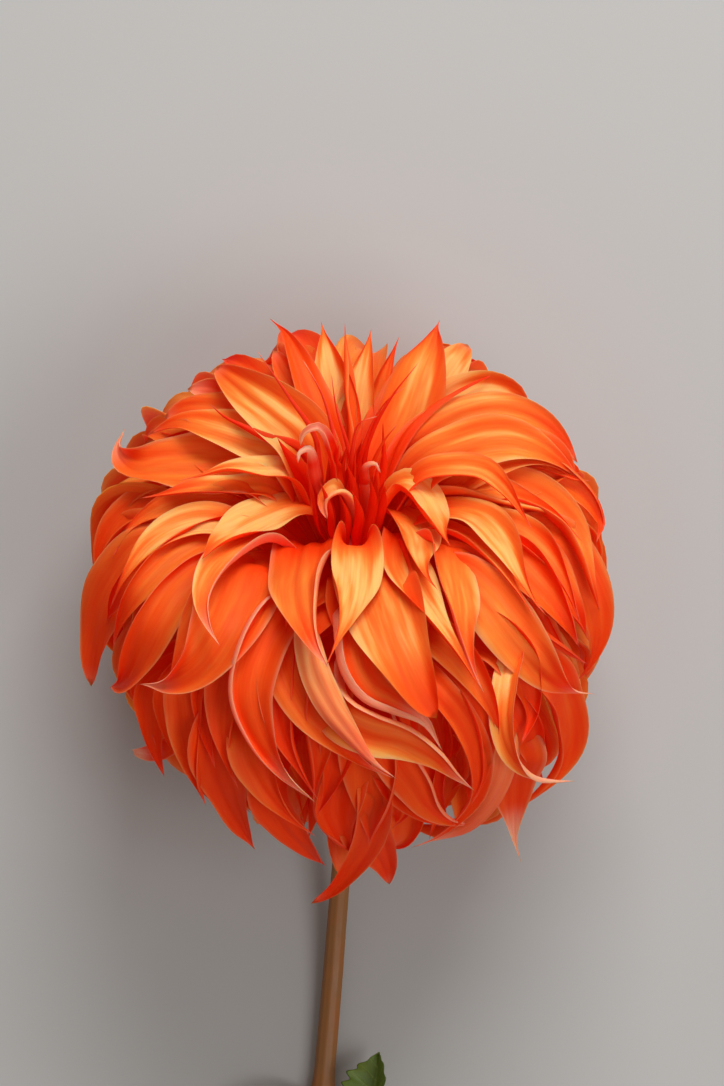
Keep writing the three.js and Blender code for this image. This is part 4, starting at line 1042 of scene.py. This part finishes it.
def phyllotaxis_tree():
    """Sets copies of one young floret round a dome, each a golden angle on from the one before."""
    tree, start, inputs = new_tree("florets by golden angle", {
        "Count": ("Int", BUD_FLORETS), "Spread": ("Float", math.radians(BUD_SPREAD)),
        "Turn": ("Float", math.radians(GOLDEN_ANGLE)), "Dome radius": ("Float", DOME_RADIUS * MM),
        "Closing": ("Float", 0.65), "Smallest": ("Float", 0.75), "Largest": ("Float", 1.15),
        "Seed": ("Int", 7),
    })
    points = start.node("GeometryNodePoints", {"Count": inputs["Count"]})
    index = start.node("GeometryNodeInputIndex")
    lean = inputs["Spread"] * start.maths("SQRT", (index + 0.5) / inputs["Count"])
    turn = index * inputs["Turn"]
    flat = start.maths("SINE", lean)
    outward = start.joined(flat * start.maths("COSINE", turn), flat * start.maths("SINE", turn),
                           start.maths("COSINE", lean))
    place = outward.scaled(inputs["Dome radius"])
    points = start.node("GeometryNodeSetPosition", {"Geometry": points, "Position": place})
    closing = {0: inputs["Closing"], 4: outward, 5: tuple(UP)}
    upright = start.node("ShaderNodeMix", closing, 1, data_type="VECTOR")
    rotation = start.node("FunctionNodeAxesToRotation", {0: upright, 1: outward},
                          primary_axis="Z", secondary_axis="X")
    scale = drawn(start, inputs["Smallest"], inputs["Largest"], index, inputs["Seed"])
    placed = start.node("GeometryNodeInstanceOnPoints", {
        "Points": points, "Instance": inputs["Geometry"], "Rotation": rotation, "Scale": scale})
    return end_tree(tree, start, placed, inputs["Material"])


def whorl_tree():
    """Sets copies of one bract round an axis."""
    tree, start, inputs = new_tree("whorl of bracts", {
        "Count": ("Int", BRACTS), "Lean": ("Float", 0.12), "Seed": ("Int", 3),
    })
    points = start.node("GeometryNodePoints", {"Count": inputs["Count"]})
    index = start.node("GeometryNodeInputIndex")
    turn = start.joined(0.0, 0.0, (index + 0.5) / inputs["Count"] * (2 * math.pi))
    lean = drawn(start, inputs["Lean"] * -1.0, inputs["Lean"], index, inputs["Seed"])
    turned, tilted = (start.node("FunctionNodeEulerToRotation", {0: angles})
                      for angles in (turn, start.joined(0.0, lean)))
    rotation = start.node("FunctionNodeRotateRotation", {0: turned, 1: tilted}, rotation_space="LOCAL")
    placed = start.node("GeometryNodeInstanceOnPoints", {
        "Points": points, "Instance": inputs["Geometry"], "Rotation": rotation})
    return end_tree(tree, start, placed, inputs["Material"])


def color_setting(name, description, default):
    return bpy.props.FloatVectorProperty(name=name, description=description, subtype="COLOR", size=3,
                                         min=0.0, max=1.0, default=default)


def number_setting(name, description, default, low, high, **kind):
    """A setting for one number; its kind is the unit that it is in, or the subtype that it has."""
    return bpy.props.FloatProperty(name=name, description=description, default=default,
                                   min=low, max=high, **kind)


class BloomSettings(bpy.types.PropertyGroup):
    """What a user would change about the flower head."""

    thickness: number_setting(
        "Petal thickness", "Thickness along a petal's middle", 0.00055, 0.0002, 0.0015, unit="LENGTH")
    ruffle: number_setting(
        "Ruffle", "How far petal edges wave, as a share of half the width", 0.15, 0.0, 0.5, subtype="FACTOR")
    ridge: number_setting(
        "Ridges", "Depth of the lengthwise folds, as a share of half the width", 0.06, 0.0, 0.2,
        subtype="FACTOR")
    fullness: number_setting(
        "Fullness", "How much wider or narrower than usual every petal is", 1.1, 0.5, 2.0, subtype="FACTOR")
    glow: number_setting("Glow", "How much light passes into the petals", 0.7, 0.0, 1.0, subtype="FACTOR")
    inner_light: number_setting(
        "Inner light", "Red light that stands for what the petals pass on to each other", 0.05, 0.0, 1.0,
        subtype="FACTOR")
    orange: color_setting("Orange", "Face of the petals", (0.90, 0.055, 0.003))
    # Gold is partly the petals' own yellow and partly painted highlight on the lit faces; straw is painted
    # highlight.
    gold: color_setting("Gold", "Yellow shades on the lit faces", (0.98, 0.39, 0.055))
    straw: color_setting("Straw", "Palest yellow of the lit faces", (1.0, 0.56, 0.20))
    # Red is partly the petals' own red at their roots and partly painted shade deep in the head; pit, the
    # core's darker mottle, is painted shade round the crown.
    red: color_setting("Red", "Roots and depth of the head", (0.80, 0.014, 0.001))
    pit: color_setting("Pit", "Darkest red round the crown", (0.75, 0.005, 0.001))
    pink: color_setting("Pink", "Backs, curled edges and tips", (0.97, 0.38, 0.23))
    cream: color_setting("Cream", "Tips of the young florets", (0.95, 0.52, 0.36))
    vein: color_setting("Vein", "What fine lines are darkened by", (0.93, 0.55, 0.45))


class PlantSettings(bpy.types.PropertyGroup):
    """What a user would change about the stem and leaves."""

    top_radius: number_setting(
        "Stem radius at the head", "Radius of the stem under the flower", STEM_TOP_RADIUS * MM, 0.001, 0.01,
        unit="LENGTH")
    end_radius: number_setting(
        "Stem radius at the cut", "Radius of the stem at its cut end", STEM_END_RADIUS * MM, 0.001, 0.01,
        unit="LENGTH")
    stem: color_setting("Stem", "Brown-orange skin of the stem", (0.36, 0.10, 0.018))
    stem_green: color_setting("Young green", "Green that shows through the stem", (0.20, 0.14, 0.02))
    stem_mauve: color_setting("Mauve", "Mauve bloom on the stem", (0.28, 0.09, 0.035))
    pith: color_setting("Pith", "Inside of the stem at the cut", (0.55, 0.58, 0.30))
    leaf: color_setting("Leaf", "Upper side of the leaves", (0.15, 0.22, 0.012))
    leaf_dark: color_setting("Dark leaf", "Darker patches of the leaves", (0.06, 0.11, 0.008))
    leaf_vein: color_setting("Veins", "Veins of the leaves", (0.22, 0.30, 0.05))
    leaf_back: color_setting("Leaf back", "Underside of the leaves", (0.16, 0.22, 0.06))


class StageSettings(bpy.types.PropertyGroup):
    """The table top, the lights and the camera."""

    distance: number_setting(
        "Camera distance", "From the camera to the middle of the head", 3.0, 0.5, 10.0, unit="LENGTH")
    view_height: number_setting(
        "View height", "What the image takes in from top to bottom", 0.413, 0.1, 2.0, unit="LENGTH")
    floor: color_setting("Floor", "Plain pale table top", (0.45, 0.445, 0.435))
    key: number_setting(
        "Key light", "Power of the big soft light beyond the crown", 33.0, 0.0, 500.0, unit="POWER")
    fill: number_setting(
        "Fill light", "Power of the light beside the camera", 18.0, 0.0, 500.0, unit="POWER")
    sky: number_setting(
        "Room light", "Strength of the even light all round", 0.285, 0.0, 5.0, subtype="FACTOR")


def finished(piece, slot, *nodes):
    """Gives the piece what carries it and hides the solids that it stands for; the slot is not used."""
    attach(piece, BODY)
    if nodes:
        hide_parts(*nodes)


def petal_form(bloom, seed, **row):
    """The full shape of a petal: its own row, and seeded variation for what the row leaves open."""
    form = {"seed": seed, "thickness": bloom.thickness / MM, "ridge": bloom.ridge, "curls": (SOFT, SOFT),
            "ruffle": bloom.ruffle * (1 + 0.5 * vary(seed, 31)), "waves": 2.1 + 0.7 * vary(seed, 32), **row}
    if not form["twist"]:
        form["twist"] = 45 * vary(seed, 33)
    if form["curls"] == (SOFT, SOFT):
        flat, rolled = 0.45 + 0.25 * vary(seed, 34), 0.8 + 0.3 * vary(seed, 35)
        hem = 0.9 + 0.7 * vary(seed, 38)
        left = vary(seed, 37) > 0
        form["curls"] = (rolled, flat) if left else (flat, rolled)
        form.setdefault("hems", (hem, 0.1) if left else (0.1, hem))
    form.setdefault("tip_roll", 1.1 + 0.5 * vary(seed, 36))
    form.setdefault("point", 1.45 + 0.35 * vary(seed, 39))
    form["width"] *= bloom.fullness
    return form


class DAHLIA_OT_placed_petals(bpy.types.Operator):
    """Lays the petals that show from above, each on its own route over the head"""

    bl_idname = "dahlia.placed_petals"
    bl_label = "Placed petals"

    def execute(self, context):
        bloom = context.scene.dahlia_bloom
        material = petal_material("petal_skin", bloom)
        groups = {
            "petals_crown": CROWN_PETALS, "petals_left": LEFT_PETALS, "petals_top": TOP_PETALS,
            "petals_right": RIGHT_PETALS, "petals_lower_right": LOWER_RIGHT_PETALS,
            "petals_lower_left": LOWER_LEFT_PETALS, "petals_filling": FILLING_PETALS,
        }
        seed = 0
        for name, rows in groups.items():
            sheaf = Sheaf()
            for row in rows:
                seed += 1
                add_petal(sheaf, placed_route(row), petal_form(bloom, seed, **row), PLACED_GRID)
            finished(sheaf.piece(name, material), "petal", "ray_petals")
        return {"FINISHED"}


class DAHLIA_OT_rule_petals(bpy.types.Operator):
    """Grows the petals round the sides and the back, each a golden angle on from the one before"""

    bl_idname = "dahlia.rule_petals"
    bl_label = "Petals round the sides and back"

    def execute(self, context):
        bloom = context.scene.dahlia_bloom
        material = bpy.data.materials.get("petal_skin") or petal_material("petal_skin", bloom)
        under, back, nape = Sheaf(), Sheaf(), Sheaf()
        for i in range(RULE_PETALS):
            route = rule_route(i)
            # Petals whose tips point up lie under the placed ones: they are painted less gold and redder, as
            # painted shade, and take the full painted light and shade of their facets.
            hidden = float(smooth((unit(route[-1])[2] + 0.1) / 0.4))
            form = petal_form(
                bloom, RULE_SEED + i, width=RULE_WIDTH * (1 + 0.12 * vary(i, 5)), roll=12 * vary(i, 6),
                twist=40 * vary(i, 7), gold=(0.35 + 0.15 * vary(i, 8)) * (1 - hidden),
                blush=0.2 + 0.2 * vary(i, 9), deep=0.25 * hidden, facing=0, shaded=hidden)
            add_petal(under if hidden > 0.5 else back, route, form, RULE_GRID)
        for i in range(NAPE_PETALS):
            form = petal_form(
                bloom, NAPE_SEED + i, width=RULE_WIDTH * (0.85 + 0.1 * vary(i, 18)), roll=10 * vary(i, 19),
                twist=30 * vary(i, 20), gold=0.3, blush=0.2, deep=0.1, facing=0, shaded=0.2)
            add_petal(nape, nape_route(i), form, RULE_GRID)
        # The throat petals are painted redder, as painted shade in the funnel round the crown.
        for i in range(THROAT_PETALS):
            form = petal_form(
                bloom, THROAT_SEED + i, width=RULE_WIDTH, curls=(0.5, 0.5), roll=0, twist=15 * vary(i, 14),
                gold=0.3, blush=0.15, deep=0.35, belly=0.6, claw=0.55, facing=0.3)
            add_petal(under, throat_route(i), form, RULE_GRID)
        for name, sheaf in (("petals_under", under), ("petals_back", back), ("petals_nape", nape)):
            finished(sheaf.piece(name, material), "petal")
        return {"FINISHED"}


class DAHLIA_OT_core(bpy.types.Operator):
    """Makes the fleshy middle that the petals grow from, and the dome in the crown"""

    bl_idname = "dahlia.core"
    bl_label = "Core of the head"

    def execute(self, context):
        material = core_material(context.scene.dahlia_bloom)
        for name, middle, radius, cut, slot in (
            ("core", CORE, CORE_RADIUS, -CORE_BACK, "petal"),
            ("crown_dome", AXIS * DOME_RISE, DOME_RADIUS, -math.inf, "young_floret"),
        ):
            sheaf = Sheaf()
            add_ball(sheaf, middle, radius, cut)
            finished(sheaf.piece(name, material), slot)
        return {"FINISHED"}


def add_ball(sheaf, middle, radius, cut):
    """A knobbly ball round the flower's axis, flat where it would go below the cut along it."""
    rings, around = BALL_GRID
    lean = np.linspace(0, math.pi, rings + 1)[1:-1, None]
    turn = np.linspace(0, 2 * math.pi, around, endpoint=False)[None]
    across = RIGHT * np.cos(turn)[..., None] + np.cross(AXIS, RIGHT) * np.sin(turn)[..., None]
    outward = AXIS * np.cos(lean)[..., None] + across * np.sin(lean)[..., None]
    knob = 1 + KNOB_HEIGHT * np.sin(lean * 31) * np.sin(turn * 19 + lean * 40)
    ways = outward * knob[..., None], AXIS, -AXIS
    skin, *poles = (middle + way * radius for way in ways)
    skin, *poles = (
        places + np.maximum(cut - places @ AXIS, 0)[..., None] * AXIS + HEAD_HEIGHT * UP
        for places in (skin, *poles)
    )
    sheaf.add(skin, poles, backwards=True)


class DAHLIA_OT_crown(bpy.types.Operator):
    """Makes the rolled young florets of the crown and the buds on its dome"""

    bl_idname = "dahlia.crown"
    bl_label = "Crown florets"

    def execute(self, context):
        bloom = context.scene.dahlia_bloom
        material = petal_material("floret_skin", bloom)
        sheaf = Sheaf()
        for i, row in enumerate(CROWN_FLORETS):
            form = {"curls": (1.9, 1.9), "roll": 0, "twist": 0, "seed": FLORET_SEED + i, "belly": 0.5,
                    "facing": 0.0, "thickness": 0.45, "ruffle": 0.05, "ridge": 0.02, **row["form"]}
            add_petal(sheaf, floret_route(row["path"], row["start"], row["end"]), form, FLORET_GRID)
        finished(sheaf.piece("crown_florets", material), "young_floret", "centre_florets")

        bud = Sheaf()
        # The buds are painted deep red, as painted shade on the dome.
        form = {"width": 7.5, "curls": (2.2, 2.2), "roll": 0, "twist": 30, "gold": 0.0, "blush": 0.1,
                "deep": 0.9, "seed": BUD_SEED, "belly": 0.55, "facing": 0.0, "thickness": 0.4,
                "ruffle": 0.04, "ridge": 0.0}
        add_petal(bud, [np.array(point) - HEAD_HEIGHT * UP for point in BUD_ROUTE], form, BUD_GRID)
        buds = set_round_axis("crown_buds", phyllotaxis_tree(), bud, material, AXIS * DOME_RISE)
        finished(buds, "young_floret")
        return {"FINISHED"}


def set_round_axis(name, tree, sheaf, material, middle):
    """Copies of one shell that a tree sets round +Z, turned to the flower's axis at a place in the head."""
    base = sheaf.piece(name + "_one", material, 0)
    made = grown(name, tree, base.data, {"Material": material})
    bpy.data.objects.remove(base)
    turn_to_axis(made.data, middle)
    return made


def turn_to_axis(mesh, middle):
    """Turns a mesh whose own upright is +Z to the flower's axis, and sets it at a place in the head."""
    places = np.zeros(len(mesh.vertices) * 3, np.float32)
    mesh.vertices.foreach_get("co", places)
    basis = np.stack([FRONT, np.cross(AXIS, FRONT), AXIS])
    turned = places.reshape(-1, 3).astype(float) @ basis + to_frame(middle + HEAD_HEIGHT * UP)
    mesh.vertices.foreach_set("co", turned.astype(np.float32).ravel())
    mesh.update()


class DAHLIA_OT_bracts(bpy.types.Operator):
    """Sets the green bracts and their disc behind the head"""

    bl_idname = "dahlia.bracts"
    bl_label = "Bracts"

    def execute(self, context):
        material = leaf_material(context.scene.dahlia_plant)
        seat = -AXIS * (CORE_BACK + SEAT_GAP)
        bract = Sheaf()
        add_bract(bract)
        whorl = set_round_axis("bract_whorl", whorl_tree(), bract, material, seat)
        finished(whorl, "bract", "bracts")

        sheaf = Sheaf()
        add_disc(sheaf)
        disc = sheaf.piece("bract_disc", material, 0)
        turn_to_axis(disc.data, seat)
        finished(disc, "bract")
        return {"FINISHED"}


def add_bract(sheaf):
    """One fleshy bract that leaves the axis, runs out along the head and bends back."""
    s = np.linspace(0, 1, BRACT_ROWS)[:, None]
    u = np.linspace(-1, 1, BRACT_COLUMNS)
    points, _ = centripetal(BRACT_ROUTE, s[:, 0])
    half = np.interp(s, *BRACT_HALF_WIDTHS)
    side = np.array([0, 1.0, 0])
    normals = np.cross(side, unit(np.gradient(points, axis=0)))[:, None]
    midrib = 0.25 * np.exp(-((u / 0.12) ** 2))
    bow = half * 0.3 * u**2 - midrib
    grid = points[:, None] + side * (u * half)[..., None] + normals * bow[..., None]
    body = normals * 0.45 * np.sqrt(1 - u**4)[None, :, None]
    add_sheet(sheaf, grid + body, grid - body, u, s[:, 0])


def add_sheet(sheaf, upper, lower, u, s, vein=None):
    """A closed leaf-like shell between two grids that meet at their side edges."""
    marks, rings = shell_marks(len(upper), u, s, 0.0)
    if vein is not None:
        rings[..., VEIN] = round_both(vein, vein)
    skin = round_both(upper, lower)
    sheaf.add(skin, (skin[0].mean(0), skin[-1].mean(0)), marks)


def add_disc(sheaf):
    """The little cone between the core and the stem, round +Z with its broad face at the origin."""
    turn = np.linspace(0, 2 * math.pi, DISC_SIDES, endpoint=False)
    radius, z = np.array(DISC_PROFILE).T[..., None]
    rings = np.stack([radius * np.cos(turn), radius * np.sin(turn), z + 0 * turn], -1)
    sheaf.add(rings, ([0, 0, 0], [0, 0, -DISC_HEIGHT]), backwards=True)


class DAHLIA_OT_stem(bpy.types.Operator):
    """Sweeps the stem along its route from the head to its cut end"""

    bl_idname = "dahlia.stem"
    bl_label = "Stem"

    def execute(self, context):
        plant = context.scene.dahlia_plant
        material = stem_material(plant)
        top = HEAD_HEIGHT * UP - AXIS * (CORE_BACK + DISC_HEIGHT + 2 * SEAT_GAP)
        route = [top, top - AXIS * STEM_STRAIGHT, *STEM_ROUTE]
        points, _ = centripetal(route, np.linspace(0, 1, STEM_STEPS))
        made = grown("flower_stem", swept_tree(), line_mesh("stem_route", points), {
            "Start radius": plant.top_radius, "End radius": plant.end_radius, "Swell": NODE_SWELL * MM,
            "Swell place": (NODE_Y + FOOTPRINT_SHIFT) * MM, "Material": material})
        rest_on_table(made.data)
        mark_cut(made.data)
        finished(made, "stem", "stem")
        return {"FINISHED"}


def rest_on_table(mesh):
    """Presses what would go through the table flat on it."""
    for vertex in mesh.vertices:
        vertex.co.z = max(vertex.co.z, 0.0)


def mark_cut(mesh):
    """Marks the corners of the cut face, the lowest in y, for the colour of the pith."""
    cut = min((face for face in mesh.polygons if len(face.vertices) > 4), key=lambda face: face.center.y)
    marks = mesh.attributes.new("cut", "FLOAT", "POINT")
    for corner in cut.vertices:
        marks.data[corner].value = 1.0


class DAHLIA_OT_leaves(bpy.types.Operator):
    """Makes the two toothed leaves with their stalks"""

    bl_idname = "dahlia.leaves"
    bl_label = "Leaves"

    def execute(self, context):
        plant = context.scene.dahlia_plant
        material = leaf_material(plant)
        skin = bpy.data.materials.get("stem_skin") or stem_material(plant)
        for name, node, leaf in (("leaf_blade_right", "leaf_right", RIGHT_LEAF),
                                 ("leaf_blade_left", "leaf_left", LEFT_LEAF)):
            sheaf = Sheaf()
            add_leaf(sheaf, leaf)
            finished(sheaf.piece(name, material), "leaf", node)
            points, _ = centripetal(leaf["stalk"], np.linspace(0, 1, STALK_STEPS))
            radius = leaf["stalk_radius"] * MM
            stalk = grown(name.replace("blade", "stalk"), swept_tree(), line_mesh("stalk_route", points), {
                "Start radius": radius * STALK_TAPER[0], "End radius": radius * STALK_TAPER[1],
                "Ridges": 5.0, "Ridge share": 0.05, "Sides": 20, "Steps": STALK_STEPS, "Material": skin})
            finished(stalk, "leaf")
        return {"FINISHED"}


def add_leaf(sheaf, leaf):
    """A toothed blade, folded along its midrib, with sunken veins."""
    teeth, blade_half = leaf["teeth"], leaf["half"]
    s = np.linspace(0, 1, ROWS_PER_TOOTH * teeth + 1)[:, None]
    right = np.linspace(0, 1, LEAF_HALF_COLUMNS) ** 0.9
    u = np.concatenate([-right[:0:-1], right])
    size = np.abs(u)
    points, _ = centripetal(leaf["midrib"], s[:, 0])
    tangents = unit(np.gradient(points, axis=0))
    sides = unit(np.cross(tangents, UP))
    normals = np.cross(sides, tangents)

    saw = (s * teeth) % 1
    past_tip = smooth((saw - TOOTH_TIP) / (1 - TOOTH_TIP))
    bite = np.where(saw < TOOTH_TIP, smooth(saw / TOOTH_TIP) ** 0.8, 1 - past_tip)
    outline = blade_half * np.sin(np.pi * (0.08 + 0.92 * s**0.8)) * (1 - 0.25 * s**3)
    half = np.maximum(outline * (0.78 + 0.22 * bite), 0.4)
    half[-1] = 0.25

    forward = blade_half * 0.18 * size * np.sin(np.pi * s)
    vein_at = s * teeth - 0.75 * size * 1.6 * np.sin(np.pi * np.clip(s * 0.9 + 0.05, 0, 1))
    off = 0.5 - np.abs((vein_at + 0.35) % 1 - 0.5)
    rib = np.exp(-((u * half / 0.7) ** 2))
    vein = np.maximum(np.exp(-((off * 2 / VEIN_WIDTH) ** 2)) * (1 - size**4) * 0.8, rib)

    fold = np.radians(np.where(u < 0, *leaf["folds"]))
    sag = 0.06 * blade_half * size**2 * np.sin(2 * np.pi * (s * teeth * 0.5))
    rise = size * half * np.sin(fold) + sag - VEIN_DEPTH * vein
    grid = points[:, None] + sum(
        way[:, None] * far[..., None]
        for way, far in ((sides, u * half * np.cos(fold)), (normals, rise), (tangents, forward))
    )
    facet = unit(np.cross(np.gradient(grid, axis=1), np.gradient(grid, axis=0)), 1e-9)
    body = np.tile(LEAF_BODY * np.sqrt(1 - size**6), (len(s), 1))
    upper = grid + facet * body[..., None]
    lower = grid - facet * (body + RIB_BODY * rib)[..., None]
    lower[:, 0], lower[:, -1] = upper[:, 0], upper[:, -1]
    np.maximum(upper[..., 2], LEAF_UPPER_FLOOR, out=upper[..., 2])
    np.maximum(lower[..., 2], LOWER_FLOOR, out=lower[..., 2])
    add_sheet(sheaf, upper, lower, u, s[:, 0], vein)


class DAHLIA_OT_stage(bpy.types.Operator):
    """Lays the pale floor, hangs the soft lights and sets the camera straight above the head"""

    bl_idname = "dahlia.stage"
    bl_label = "Stage"

    def execute(self, context):
        scene = context.scene
        stage = scene.dahlia_stage
        mesh = bpy.data.meshes.new("floor")
        corners = [(x * FLOOR_REACH, y * FLOOR_REACH, 0) for x, y in ((-1, -1), (1, -1), (1, 1), (-1, 1))]
        mesh.from_pydata(corners, [], [(0, 1, 2, 3)])
        mesh.materials.append(floor_material(stage.floor))
        floor = add_object("floor", mesh)

        head = to_frame(HEAD_HEIGHT * UP)
        for name, (place, size), power in (("key", KEY_LIGHT, stage.key), ("fill", FILL_LIGHT, stage.fill)):
            light = bpy.data.lights.new(name, "AREA")
            light.shape = "RECTANGLE"
            light.size, light.size_y = size
            light.energy = power
            lamp = add_object(name, light)
            lamp.visible_camera = False
            lamp.location = place
            lamp.rotation_euler = (Vector(head) - Vector(place)).to_track_quat("-Z", "Y").to_euler()

        world = bpy.data.worlds.new("room")
        world.use_nodes = True
        fill_inputs(world.node_tree.nodes["Background"], {"Color": rgba(ROOM_TINT), "Strength": stage.sky})
        scene.world = world
        scene.view_settings.view_transform = "Standard"

        camera = bpy.data.cameras.new("camera")
        camera.lens = camera.sensor_width * stage.distance / stage.view_height
        scene.camera = add_object("camera", camera)
        x, y = VIEW_MIDDLE
        scene.camera.location = (x * MM, (y + FOOTPRINT_SHIFT) * MM, head[2] + stage.distance)
        return {"FINISHED"}


class DAHLIA_PT_panel(bpy.types.Panel):
    """Lists the steps that build the flower, and their settings"""

    bl_idname = "DAHLIA_PT_panel"
    bl_label = "Dahlia flower"
    bl_space_type = "VIEW_3D"
    bl_region_type = "UI"
    bl_category = "Dahlia"

    def draw(self, context):
        for group in (context.scene.dahlia_bloom, context.scene.dahlia_plant, context.scene.dahlia_stage):
            box = self.layout.box()
            for name in group.__annotations__:
                box.prop(group, name)
        for step in STEPS:
            self.layout.operator(step.bl_idname)


SETTINGS = {"dahlia_bloom": BloomSettings, "dahlia_plant": PlantSettings, "dahlia_stage": StageSettings}
STEPS = (
    DAHLIA_OT_stage, DAHLIA_OT_placed_petals, DAHLIA_OT_rule_petals, DAHLIA_OT_core, DAHLIA_OT_crown,
    DAHLIA_OT_bracts, DAHLIA_OT_stem, DAHLIA_OT_leaves,
)


def register():
    for made in (*SETTINGS.values(), *STEPS, DAHLIA_PT_panel):
        bpy.utils.register_class(made)
    for name, group in SETTINGS.items():
        setattr(bpy.types.Scene, name, bpy.props.PointerProperty(type=group))


def unregister():
    for name in SETTINGS:
        delattr(bpy.types.Scene, name)
    for made in (DAHLIA_PT_panel, *reversed(STEPS), *reversed(SETTINGS.values())):
        bpy.utils.unregister_class(made)


def main():
    register()
    bpy.ops.dahlia.stage()
    bpy.ops.dahlia.placed_petals()
    bpy.ops.dahlia.rule_petals()
    bpy.ops.dahlia.core()
    bpy.ops.dahlia.crown()
    bpy.ops.dahlia.bracts()
    bpy.ops.dahlia.stem()
    bpy.ops.dahlia.leaves()


if __name__ == "__main__":
    main()
